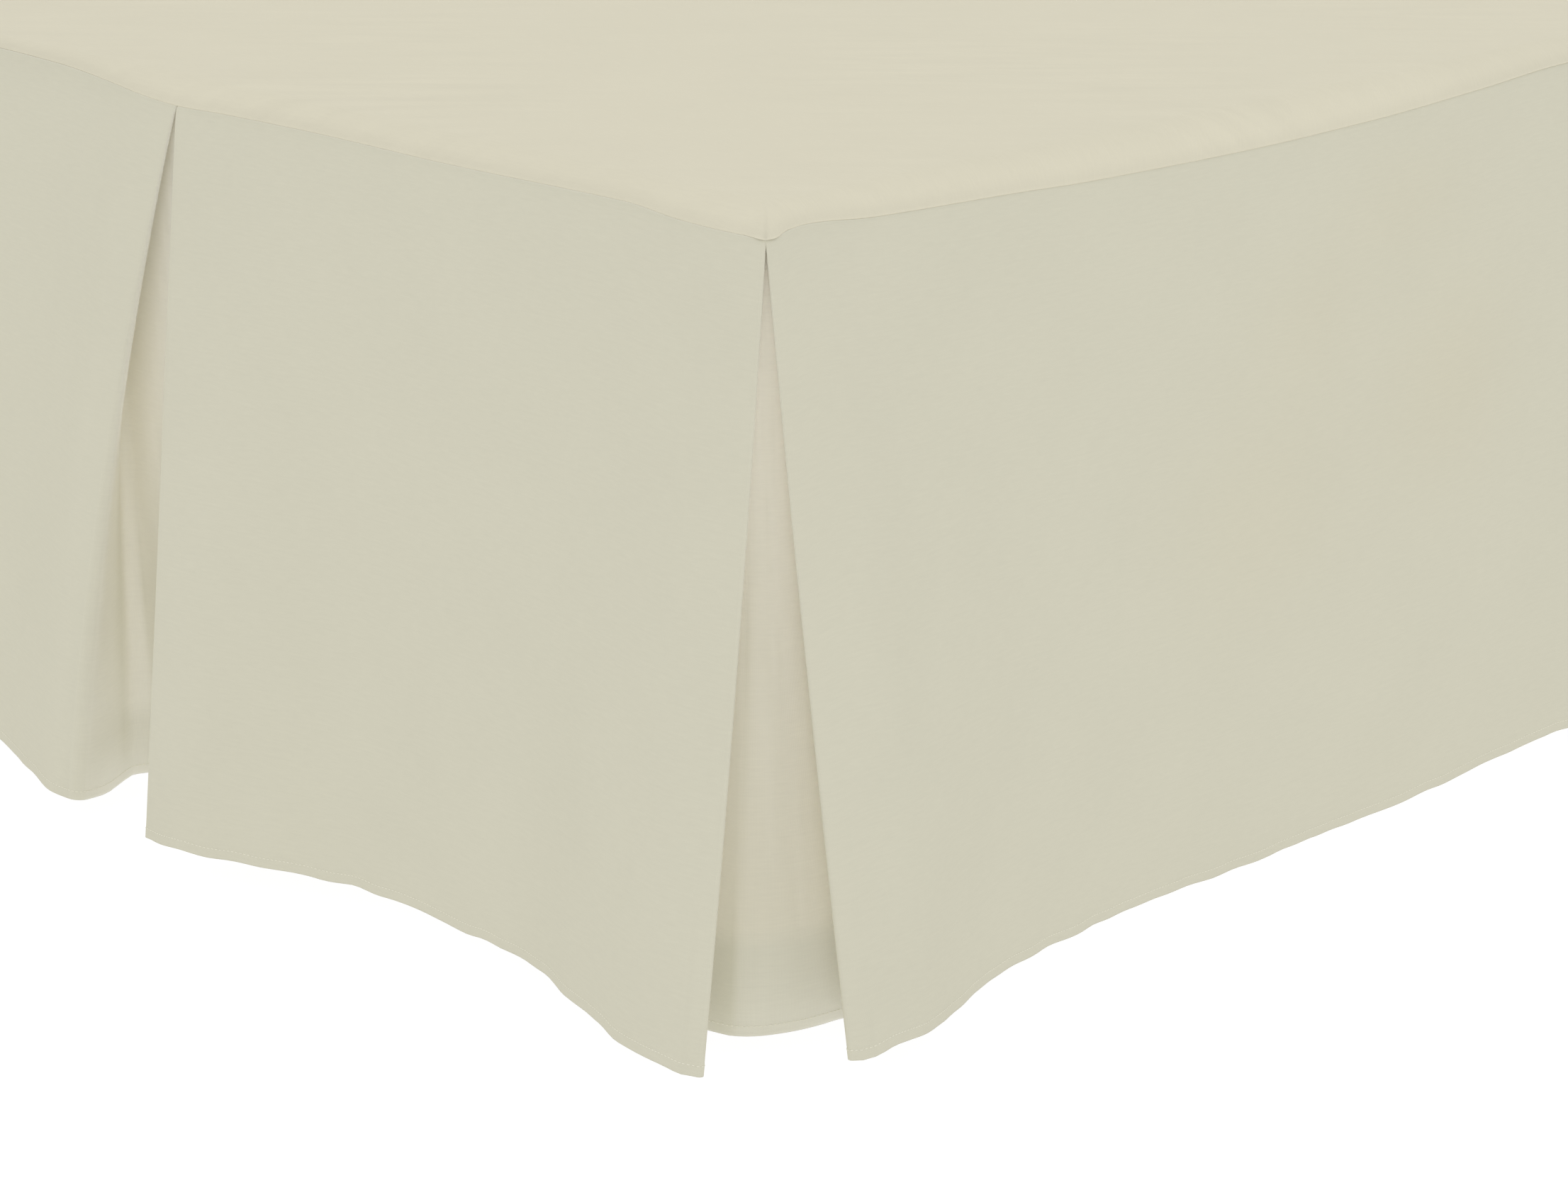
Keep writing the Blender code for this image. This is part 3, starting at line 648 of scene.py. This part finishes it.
def blush_paint(points, stations, drops):
    """How far the base's warm cover tints each point of the skirt as painted show-through, from 0 to 1."""
    warm = np.zeros(points.shape[:2])
    for blush in BLUSHES:
        across = face_travel(points, blush.face) - blush.travel
        spot = hill(across, blush.across) * hill(drops - blush.down, blush.tall)
        warm += blush.strength * spot * on_panels(stations, blush.face)
    under = (gather(stations, "layer") == "underlay")[:, None]
    above = ease(points[..., 2] - BASE_BOTTOM, *WARMTH_EDGE)
    return np.clip(warm + under * above * np.where(at_corner(points), 1.0, MIDDLE_WARMTH), 0.0, 1.0)


def crossed(first, second):
    """The cross products of vectors in plan."""
    return first[..., 0] * second[..., 1] - first[..., 1] * second[..., 0]


def hidden_shares(line):
    """Shares of the light in plan kept from each point's outer side: of all, and of that from behind."""
    way = unit(np.gradient(line, axis=0))
    out = np.stack([way[:, 1], -way[:, 0]], axis=1)
    sines = (np.arange(RAYS) + 0.5) / RAYS * 2 - 1
    cosines = np.sqrt(1 - sines**2)
    rays = out[:, None] * cosines[:, None] + way[:, None] * sines[:, None]
    start = line + out * RAY_LIFT
    edges = line[1:] - line[:-1]
    to_edges = (line[None, :-1] - start[:, None])[:, None]
    facing = crossed(rays[:, :, None], edges)
    facing = np.where(np.abs(facing) < 1e-12, 1e-12, facing)
    ahead = crossed(to_edges, edges) / facing
    along = crossed(to_edges, rays[:, :, None]) / facing
    kept = ((ahead > 0) & (along >= 0) & (along <= 1)).any(axis=2)
    return kept.mean(axis=1), kept[:, sines < 0].mean(axis=1)


def hidden_paint(points, stations):
    """Both hidden_shares of each point in the pleats and beside them, and 0 elsewhere."""
    rows = np.linspace(0, points.shape[1] - 1, SHELTER_ROWS).astype(int)
    folded = gather(stations, "layer") != "panel"
    starts = np.flatnonzero(folded[1:] & ~folded[:-1]) - SHELTER_REACH
    ends = np.flatnonzero(~folded[1:] & folded[:-1]) + SHELTER_REACH
    hidden = np.zeros((2, *points.shape[:2]))
    for start, end in zip(starts, ends):
        shares = np.array([hidden_shares(points[start:end, row, :2]) for row in rows])
        for kind, column in np.ndindex(2, end - start):
            values = np.interp(np.arange(points.shape[1]), rows, shares[:, kind, column])
            hidden[kind, start + column] = values
    return hidden


def seam_painted_light(distance):
    """How much paler the cloth is painted at a distance from a sewn edge, as painted light against the
    shade in the seam.
    """
    return SEAM_SHELTER * hill(distance, SEAM_SHELTER_REACH)


def painted_light_paint(points, stations, drops):
    """How much paler each point of the skirt is painted than the panels, as painted light in the pleats,
    from 0 to 1.
    """
    hidden, behind = hidden_paint(points, stations)
    fall = drops / DROP
    opening = fall**OPEN_FALL
    lower = ease(fall, *SHELTER_TOP)
    turning = (gather(stations, "layer") == "fold")[:, None]
    weight = 1 - gather(stations, "shelter")[:, None]
    weight = 1 - weight * np.where(turning, np.maximum(lower, TURNING_SHARE), lower)
    unbacked = 1 - ease(points[..., 2], BASE_BOTTOM - UNBACKED_EDGE, BASE_BOTTOM + UNBACKED_EDGE)
    paint = np.clip(SHELTER_GAIN * weight * hidden ** (SHELTER_POWER + OPEN_POWER * opening), 0.0, 1.0)
    paint *= (1 - OPEN_SHARE * opening) * (1 - UNBACKED_SHARE * unbacked)
    shaded = np.where(at_corner(points), ease(fall, *CORNER_BEHIND_TOP), ease(fall, *BEHIND_TOP))
    paint = np.clip(paint - BEHIND_SHADE * behind**BEHIND_POWER * shaded, 0.0, 1.0)
    return paint + (1 - paint) * seam_painted_light(drops)


def make_skirt(material):
    """The skirt, its outer surface, the normals there and the strip's length."""
    stations, drops = skirt_stations(), drop_rows()
    points = skirt_surface(stations, drops)
    along = distances(points[:, points.shape[1] // 2])
    points[..., :2] -= gather(stations, "normal")[:, None] * seam_pull(stations, drops)[..., None]
    out, lift = skirt_relief(points, stations, drops, along)
    points += grid_normals(points) * out[..., None]
    points[..., 2] += lift
    normals = grid_normals(points)
    band = DROP - HEM_HEIGHT
    hem = ease(drops, band - HEM_STEP / 2, band + HEM_STEP / 2)
    thickness = np.tile(CLOTH_THICKNESS + (HEM_THICKNESS - CLOTH_THICKNESS) * hem, (len(points), 1))
    uv = np.stack(np.meshgrid(along, -drops, indexing="ij"), axis=-1)
    paint = {
        "painted_show_through": blush_paint(points, stations, drops).ravel(),
        "shelter": painted_light_paint(points, stations, drops).ravel(),
    }
    skirt = closed_sheet(
        "skirt_cloth", points.reshape(-1, 3), normals.reshape(-1, 3), thickness.ravel(),
        grid_faces(*points.shape[:2]), material, uv.reshape(-1, 2), paint,
    )
    return skirt, points + normals * thickness[..., None] / 2, normals, along[-1]


# ---- the platform

RimLine = namedtuple("RimLine", "inner way depth index face travel")
Spot = namedtuple("Spot", "place thickness uv from_seam")


def flat_lines():
    """The grid's lines across and along the platform's flat part."""
    half, foot = BASE_WIDTH / 2 - ROLL_START, FOOT_FACE_Y + ROLL_START
    head = FOOT_FACE_Y + BASE_LENGTH - HEAD_HEM_INSET
    across = np.linspace(-half, half, round(2 * half / PLATFORM_SPACING) + 1)
    hem_lines = [head - gap for gap in (HEAD_HEM + STITCH_INSET, HEAD_HEM - STITCH_INSET, 0.0)]
    length = np.linspace(foot, hem_lines[0], round((hem_lines[0] - foot) / PLATFORM_SPACING) + 1)
    return across, np.concatenate([length, hem_lines[1:]])


def wrinkle_height(x, y, edge):
    """Rise of the platform's cloth at a place, edge being its distance from the nearest side."""
    cosine, sine = math.cos(WRINKLE_WAY), math.sin(WRINKLE_WAY)
    on, over = x * cosine + y * sine, y * cosine - x * sine
    drift = DRIFT * wave(x / DRIFT_PITCH, y / DRIFT_PITCH, DRIFT_SEED)
    long = wave(on / WRINKLE_LENGTH, over / WRINKLE_PITCH + drift, WRINKLE_SEED)
    slow = wave(x / PATCH_PITCH, y / PATCH_PITCH, PATCH_SEED)
    rise = WRINKLE * (0.5 + 0.5 * long) * (0.6 + 0.8 * slow)
    pucker = wave(x / RIM_PUCKER_PITCH, y / RIM_PUCKER_PITCH, RIM_PUCKER_SEED)
    return max(0.0, rise) + RIM_PUCKER * (0.5 + 0.5 * pucker) * float(hill(edge, RIM_PUCKER_REACH))


def flat_spots(across, length):
    """The platform's flat part, column by column."""
    spots = []
    for x in across:
        for y in length:
            edge = min(across[-1] - abs(x), y - length[0])
            place = (x, y, CLOTH_TOP + wrinkle_height(x, y, edge))
            thickness = HEM_THICKNESS if y > length[-1] - HEAD_HEM else CLOTH_THICKNESS
            spots.append(Spot(place, thickness, (x, y), ROLL_RADIUS + edge))
    return spots


def corner_lines(first, second):
    """The rim's lines from one side's last to the next side's first, longer towards the diagonal."""
    lines = []
    for step in range(1, CORNER_STEPS):
        angle = math.pi / 2 * step / CORNER_STEPS
        x, y = math.cos(angle), math.sin(angle)
        size = (x**CORNER_SQUARENESS + y**CORNER_SQUARENESS) ** (1 / CORNER_SQUARENESS)
        size /= 1 + CORNER_REACH * (2 * x * y) ** CORNER_REACH_POWER
        on, over = x / size, y / size
        if on > over:
            depth = seam_depth(first.face, first.travel + over * ROLL_RADIUS)
        else:
            depth = seam_depth(second.face, second.travel - on * ROLL_RADIUS)
        lines.append(first._replace(way=first.way * on + second.way * over, depth=depth - CORNER_LIFT))
    return lines


def rim_lines(across, length):
    """The platform's rim in the order of travel, each line from its vertex of the flat grid."""
    rows = len(length)
    last = (len(across) - 1) * rows

    def line(face, travel, index):
        inner, depth = on_face(face, travel, -ROLL_START), seam_depth(face, travel)
        return RimLine(inner, FACES[face].out, depth, index, face, travel)

    left = [line("left", FOOT_FACE_Y - length[row], row) for row in reversed(range(rows))]
    foot = [line("foot", x, column * rows) for column, x in enumerate(across)]
    right = [line("right", length[row] - FOOT_FACE_Y, last + row) for row in range(rows)]
    return left + corner_lines(left[-1], foot[0]) + foot + corner_lines(foot[-1], right[0]) + right


def rim_spots(line, rise):
    """One line of the rim down to the seam; the wrinkles lift its start by rise."""
    depth = line.depth - SEAM_GAP
    turned = ROLL_RADIUS * math.acos(max(0.0, 1 - depth / ROLL_RADIUS))
    whole = turned + max(0.0, depth - ROLL_RADIUS)
    spots = []
    for step in range(1, ROLL_STEPS + 1):
        share = 1 - (1 - step / ROLL_STEPS) ** ROLL_CROWDING
        run, left = whole * share, whole * (1 - share)
        turn = min(run / ROLL_RADIUS, math.pi / 2)
        place = line.inner + line.way * (ROLL_RADIUS * math.sin(turn) - seam_curl(left))
        fall = ROLL_RADIUS * (1 - math.cos(turn)) + run - ROLL_RADIUS * turn
        z = CLOTH_TOP - fall + rise * (1 - ease(share, 0.0, 1.0))
        spots.append(Spot((*place, z), CLOTH_THICKNESS, tuple(line.inner + line.way * run), left))
    return spots


def make_platform(material):
    """The platform, and the line of the stitches at its head end."""
    across, length = flat_lines()
    rows = len(length)
    spots = flat_spots(across, length)
    ring = []
    for line in rim_lines(across, length):
        ring.append([line.index, *range(len(spots), len(spots) + ROLL_STEPS)])
        spots += rim_spots(line, spots[line.index].place[2] - CLOTH_TOP)
    faces = grid_faces(len(across), rows)[:, ::-1].tolist()
    for left, right in zip(ring, ring[1:]):
        faces += [[left[i], left[i + 1], right[i + 1], right[i]] for i in range(ROLL_STEPS)]
    middle, faces, from_seam = gather(spots, "place"), np.array(faces), gather(spots, "from_seam")
    # painted light on the platform's flat part and by its seam; the rolled rim keeps the darker colour as
    # painted shade
    paint = {
        "painted_show_through": np.zeros(len(spots)),
        "shelter": FLAT_SHELTER * (1 - hill(from_seam, FLAT_SHELTER_REACH)) + seam_painted_light(from_seam),
    }
    platform = closed_sheet(
        "platform_cloth", middle, vertex_normals(middle, faces), gather(spots, "thickness"),
        faces, material, gather(spots, "uv"), paint,
    )
    stitch_row = [column * rows + rows - 2 for column in range(len(across))]
    return platform, middle[stitch_row] + (0, 0, HEM_THICKNESS / 2)


# ---- stitches


def stitch_spots(line, normals):
    """Places along a line at an even pitch: centre, direction and normal of each stitch."""
    along = distances(line)

    def values_at(places, values):
        return np.stack([np.interp(places, along, values[:, axis]) for axis in range(3)], axis=1)

    centres = np.arange(STITCH_PITCH, along[-1] - STITCH_PITCH, STITCH_PITCH)
    place = values_at(centres, line)
    ahead = values_at(centres + STITCH_PITCH / 4, line)
    return zip(place, unit(ahead - place), unit(values_at(centres, normals)))


def stitch_mesh(rows):
    """Vertices and faces of all stitches: small pads with pointed ends, half sunk in the cloth."""
    chance = random.Random(STITCH_SEED)
    vertices, faces = [], []
    ring = [math.tau * k / STITCH_SIDES for k in range(STITCH_SIDES)]
    for line, normals in rows:
        for centre, way, normal in stitch_spots(line, normals):
            side = np.cross(normal, way)
            way = way + side * chance.uniform(-STITCH_TILT, STITCH_TILT)
            length = STITCH_LENGTH * chance.uniform(*STITCH_SIZES)
            first = len(vertices)
            vertices.append(centre - way * length / 2)
            for end in (-STITCH_SHOULDER, STITCH_SHOULDER):
                for angle in ring:
                    over = side * math.cos(angle) * STITCH_WIDTH / 2
                    up = normal * math.sin(angle) * STITCH_HEIGHT / 2
                    vertices.append(centre + way * length * end + over + up)
            vertices.append(centre + way * length / 2)
            last = len(vertices) - 1
            near, far = first + 1, first + 1 + STITCH_SIDES
            for k in range(STITCH_SIDES):
                m = (k + 1) % STITCH_SIDES
                faces += [(first, near + m, near + k), (near + k, near + m, far + m, far + k)]
                faces.append((last, far + k, far + m))
    return vertices, faces


def make_stitching(material, surface, normals, head_row):
    """The stitches of the skirt's hem, of the strip's two ends and of the platform's head end."""
    hem_row = int(np.argmin(np.abs(drop_rows() - (DROP - HEM_HEIGHT + STITCH_INSET))))
    rows = [(surface[:, hem_row], normals[:, hem_row])]
    rows += [(surface[column, 2:hem_row], normals[column, 2:hem_row]) for column in (1, -2)]
    rows.append((head_row, np.zeros_like(head_row) + (0, 0, 1)))
    return new_mesh_object("hem_stitching", *stitch_mesh(rows), material)


# ---- materials

# The second colour is the paler one that the pleats get as painted light.
Weave = namedtuple("Weave", "colour sheltered_colour slub mottle streak")
SKIRT_WEAVE = Weave((0.624, 0.604, 0.487), (0.970, 0.955, 0.890), 0.030, 0.018, 0.0)
# The platform is the skirt's cloth painted lighter and warmer, as painted light falling on its top.
PLATFORM_WEAVE = Weave((0.657, 0.622, 0.495), (0.923, 0.874, 0.696), 0.022, 0.018, 0.34)
SLUB_LENGTH, SLUB_PITCH = 0.0085, 0.0015
FLECK_LENGTH, FLECK_PITCH = 3 * SLUB_LENGTH, 0.7 * SLUB_PITCH
THREAD_PITCH = 0.00048
THREAD_TONE = (0.04, 0.99)  # how much paler a thread is, and the tone between threads
MOTTLE_SIZE = 0.070
# Streaks along the wrinkles' way, as painted shade of the platform's wrinkles.
STREAK_LENGTH, STREAK_PITCH = 0.090, 0.013
STREAK_PATCH = 0.220  # size of the areas with streaks
STREAK_START = 0.38  # of the areas' noise
SLUB_HEIGHT, THREAD_HEIGHT = 0.7, 0.5  # shares of the bump's depth

WHITE = (1.0, 1.0, 1.0)
WARM_TINT = (1.0, 0.982, 0.955)  # painted show-through of the base's cover, on cloth that lies close to it
STITCH_COLOUR = (0.80, 0.78, 0.65)
COVER_COLOUR = (0.62, 0.56, 0.49)
FOOT_COLOURS = (0.028, 0.028, 0.030), (0.055, 0.055, 0.057)
FLOOR_COLOURS = (0.17, 0.17, 0.17), (0.19, 0.19, 0.19)

# The roughness rises by rougher with a noise; the bump has a depth in metres.
Finish = namedtuple("Finish", "roughness rougher bump_depth bump_strength specular")
CLOTH_FINISH = Finish(0.80, 0.12, 0.00012, 0.6, 0.08)
STITCH_FINISH = Finish(0.62, 0.15, 0.0001, 0.5, 0.5)
COVER_FINISH = Finish(0.80, 0.15, 0.0004, 0.5, 0.2)
FOOT_FINISH = Finish(0.38, 0.25, 0.0001, 0.4, 0.5)


class Nodes:
    """A short way to add and join the nodes of a material or a world."""

    def __init__(self, owner, last_node):
        owner.use_nodes = True
        self.owner, self.tree = owner, owner.node_tree
        self.last_node = self.tree.nodes[last_node]

    def feed(self, node, inputs):
        """Gives a node's sockets a value of their own or another node's output."""
        for key, value in inputs.items():
            if isinstance(value, bpy.types.NodeSocket):
                self.tree.links.new(value, node.inputs[key])
            else:
                node.inputs[key].default_value = value

    def add(self, kind, inputs=(), output=0, **settings):
        """The output of a new node."""
        node = self.tree.nodes.new(kind)
        for key, value in settings.items():
            setattr(node, key, value)
        self.feed(node, dict(inputs))
        return node.outputs[output]

    def math(self, operation, *values):
        return self.add("ShaderNodeMath", dict(enumerate(values)), operation=operation)

    def noise(self, vector, scale, detail=2.0):
        place = self.add("ShaderNodeMapping", {"Vector": vector, "Scale": scale})
        inputs = {"Vector": place, "Scale": 1.0, "Detail": detail, "Roughness": 0.55}
        return self.add("ShaderNodeTexNoise", inputs)

    def mix(self, share, first, second):
        inputs = {0: share, 6: (*first, 1.0), 7: (*second, 1.0)}
        return self.add("ShaderNodeMix", inputs, output=2, data_type="RGBA")

    def shade(self, colour, factor):
        """A colour times a grey factor."""
        return self.add("ShaderNodeVectorMath", {0: colour, "Scale": factor}, operation="SCALE")

    def finish(self, inputs):
        """Feeds the last node and hands over the material or world."""
        self.feed(self.last_node, inputs)
        return self.owner

    def finish_surface(self, colour, rough, height, finish):
        """The material, rougher where rough is high and with a bump by height."""
        bump = {"Height": height, "Distance": finish.bump_depth, "Strength": finish.bump_strength}
        return self.finish({
            "Base Color": colour,
            "Roughness": self.math("MULTIPLY_ADD", rough, finish.rougher, finish.roughness),
            "Normal": self.add("ShaderNodeBump", bump),
            "Specular IOR Level": finish.specular,
        })


def new_material(name):
    """A new material's nodes, and the place on its object."""
    nodes = Nodes(bpy.data.materials.new(name), "Principled BSDF")
    return nodes, nodes.add("ShaderNodeTexCoord", output="Object")


def cloth_material(name, weave):
    """Thin woven cloth: threads, slubs along the weft, slow mottling and diagonal streaks of painted
    wrinkle shade.
    """
    nodes = Nodes(bpy.data.materials.new(name), "Principled BSDF")
    place = nodes.add("ShaderNodeUVMap", uv_map="cloth_metres")

    def varied(value, spread):
        """A factor that a noise moves up and down round 1."""
        return nodes.math("MULTIPLY_ADD", value, spread * 2, 1.0 - spread)

    def spots(length, pitch, detail, vector=place):
        return nodes.noise(vector, (1 / length, 1 / pitch, 1.0), detail)

    slub = spots(SLUB_LENGTH, SLUB_PITCH, 3.0)
    fleck = spots(FLECK_LENGTH, FLECK_PITCH, 1.0)
    mottle = spots(MOTTLE_SIZE, MOTTLE_SIZE, 3.0)
    bands = {"Vector": place, "Scale": math.tau / 20 / THREAD_PITCH}
    threads = [nodes.add("ShaderNodeTexWave", bands, "Fac", bands_direction=axis) for axis in ("X", "Y")]
    weaving = nodes.math("MULTIPLY", *threads)
    # painted wrinkle shade: streaks along the way of the platform's wrinkles
    turned = nodes.add("ShaderNodeMapping", {"Vector": place, "Rotation": (0.0, 0.0, -WRINKLE_WAY)})
    streaks = spots(STREAK_LENGTH, STREAK_PITCH, 3.0, turned)
    patches = spots(STREAK_PATCH, STREAK_PATCH, 1.0)
    strength = nodes.math("MAXIMUM", nodes.math("SUBTRACT", patches, STREAK_START), 0.0)
    streaked = nodes.math("MULTIPLY", nodes.math("SUBTRACT", streaks, 0.5), strength)
    factor = nodes.math("MULTIPLY_ADD", weaving, *THREAD_TONE)
    tones = varied(slub, weave.slub), varied(fleck, weave.slub / 2), varied(mottle, weave.mottle)
    for tone in (*tones, nodes.math("MULTIPLY_ADD", streaked, weave.streak, 1.0)):
        factor = nodes.math("MULTIPLY", factor, tone)
    # painted show-through of the base's cover, and painted light that makes up for the shade in the pleats
    painted_show_through, shelter = (
        nodes.add("ShaderNodeAttribute", output="Fac", attribute_name=key) for key in ("painted_show_through", "shelter")
    )
    plain = nodes.mix(shelter, weave.colour, weave.sheltered_colour)
    tint = nodes.mix(painted_show_through, WHITE, WARM_TINT)
    tinted = nodes.add("ShaderNodeVectorMath", {0: plain, 1: tint}, operation="MULTIPLY")
    height = nodes.math("MULTIPLY_ADD", slub, SLUB_HEIGHT, nodes.math("MULTIPLY", weaving, THREAD_HEIGHT))
    return nodes.finish_surface(nodes.shade(tinted, factor), slub, height, CLOTH_FINISH)


def thread_material():
    """Spun thread, slightly lighter than the cloth."""
    nodes, place = new_material("stitch_thread")
    ply = nodes.noise(place, (2600.0,) * 3)
    tone = nodes.math("MULTIPLY_ADD", ply, 0.16, 0.90)
    return nodes.finish_surface(nodes.shade(STITCH_COLOUR, tone), ply, ply, STITCH_FINISH)


def cover_material():
    """The base's woven cover: a coarser cloth, slightly pink."""
    nodes, place = new_material("base_cover_weave")
    mottle = nodes.noise(place, (9.0,) * 3, 3.0)
    grain = nodes.noise(place, (900.0, 900.0, 1500.0))
    tone = nodes.math("MULTIPLY_ADD", mottle, 0.10, nodes.math("MULTIPLY_ADD", grain, 0.12, 0.89))
    return nodes.finish_surface(nodes.shade(COVER_COLOUR, tone), grain, grain, COVER_FINISH)


def foot_material():
    """Moulded plastic with a fine spark texture and slight scuffing."""
    nodes, place = new_material("foot_plastic")
    spark = nodes.noise(place, (1800.0,) * 3)
    scuff = nodes.noise(place, (60.0, 60.0, 200.0), 4.0)
    return nodes.finish_surface(nodes.mix(scuff, *FOOT_COLOURS), scuff, spark, FOOT_FINISH)


# ---- studio

FLOOR_HALF = 30.0
FLOOR_ROUGHNESS = 0.9
FLOOR_GLOW = 0.93
WORLD_STRENGTH = 0.90
LIGHTS = table(
    "name place aim size strength colour",
    ("top_light", (0.6, -0.8, 4.5), (0.0, 0.0, 0.4), 5.0, 14.0, (1.0, 0.995, 0.985)),
    ("corner_light", (3.95, -4.3, 1.82), (0.45, -0.9, 0.2), 1.5, 8.0, (0.995, 1.0, 0.995)),
    ("back_light", (-4.2, 4.4, 2.2), (0.0, 0.2, 0.2), 3.0, 14.0, WHITE),
)


def floor_material():
    """A pale studio floor that glows, so that it stays white close to the bed."""
    nodes, place = new_material("studio_floor")
    return nodes.finish({
        "Base Color": nodes.mix(nodes.noise(place, (3.0,) * 3), *FLOOR_COLOURS),
        "Roughness": FLOOR_ROUGHNESS,
        "Specular IOR Level": 0.0,
        "Emission Color": (*WHITE, 1.0),
        "Emission Strength": FLOOR_GLOW,
    })


def make_floor():
    corners = [(FLOOR_HALF * x, FLOOR_HALF * y, 0) for x, y in ((-1, -1), (1, -1), (1, 1), (-1, 1))]
    new_mesh_object("floor", corners, [(0, 1, 2, 3)], floor_material())


def make_lights():
    for light in LIGHTS:
        data = bpy.data.lights.new(light.name, "AREA")
        data.size, data.energy, data.color = light.size, light.strength, light.colour
        obj = add_object(light.name, data)
        obj.location = light.place
        aim = Vector(light.aim) - Vector(light.place)
        obj.rotation_euler = aim.to_track_quat("-Z", "Y").to_euler()
        obj.visible_camera = False


def make_world():
    """White light from all sides, and pure white behind the bed."""
    nodes = Nodes(bpy.data.worlds.new("studio"), "Background")
    seen = nodes.add("ShaderNodeLightPath", output="Is Camera Ray")
    strength = nodes.math("MULTIPLY_ADD", seen, 1.0 - WORLD_STRENGTH, WORLD_STRENGTH)
    bpy.context.scene.world = nodes.finish({"Color": (*WHITE, 1.0), "Strength": strength})


def make_camera():
    data = bpy.data.cameras.new("camera")
    data.lens = CAMERA_LENS
    camera = add_object("camera", data)
    camera.location = CAMERA_PLACE
    camera.rotation_euler = (math.pi / 2 - CAMERA_PITCH, 0.0, CAMERA_YAW)
    bpy.context.scene.camera = camera


def set_colours():
    """Plain display of the colours, and enough bounces for light to reach into the pleats."""
    scene = bpy.context.scene
    scene.view_settings.view_transform = "Standard"
    scene.cycles.diffuse_bounces = 8
    scene.cycles.max_bounces = 12


def dress_cad(frame):
    """Gives the base and its feet their own materials."""
    cover, plastic = cover_material(), foot_material()
    for name, obj in frame["nodes"].items():
        if name == "bed_base":
            obj.data.materials[0] = cover
        elif name.startswith("base_foot"):
            obj.data.materials[0] = plastic


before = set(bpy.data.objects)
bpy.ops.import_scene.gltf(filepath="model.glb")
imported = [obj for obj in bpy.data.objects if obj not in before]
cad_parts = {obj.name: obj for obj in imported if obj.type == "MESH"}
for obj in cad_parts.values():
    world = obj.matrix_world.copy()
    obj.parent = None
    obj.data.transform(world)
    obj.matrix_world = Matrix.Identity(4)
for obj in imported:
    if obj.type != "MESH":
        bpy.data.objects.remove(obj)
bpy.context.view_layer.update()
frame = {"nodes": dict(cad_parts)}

dress_cad(frame)
skirt, skirt_outside, skirt_normals, strip_length = make_skirt(cloth_material("skirt_weave", SKIRT_WEAVE))
platform, head_row = make_platform(cloth_material("platform_weave", PLATFORM_WEAVE))
stitching = make_stitching(thread_material(), skirt_outside, skirt_normals, head_row)

for piece in (skirt, platform, stitching):
    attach(piece, BODY)
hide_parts("pleated_skirt")
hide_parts("platform")

make_floor()
make_lights()
make_world()
make_camera()
set_colours()
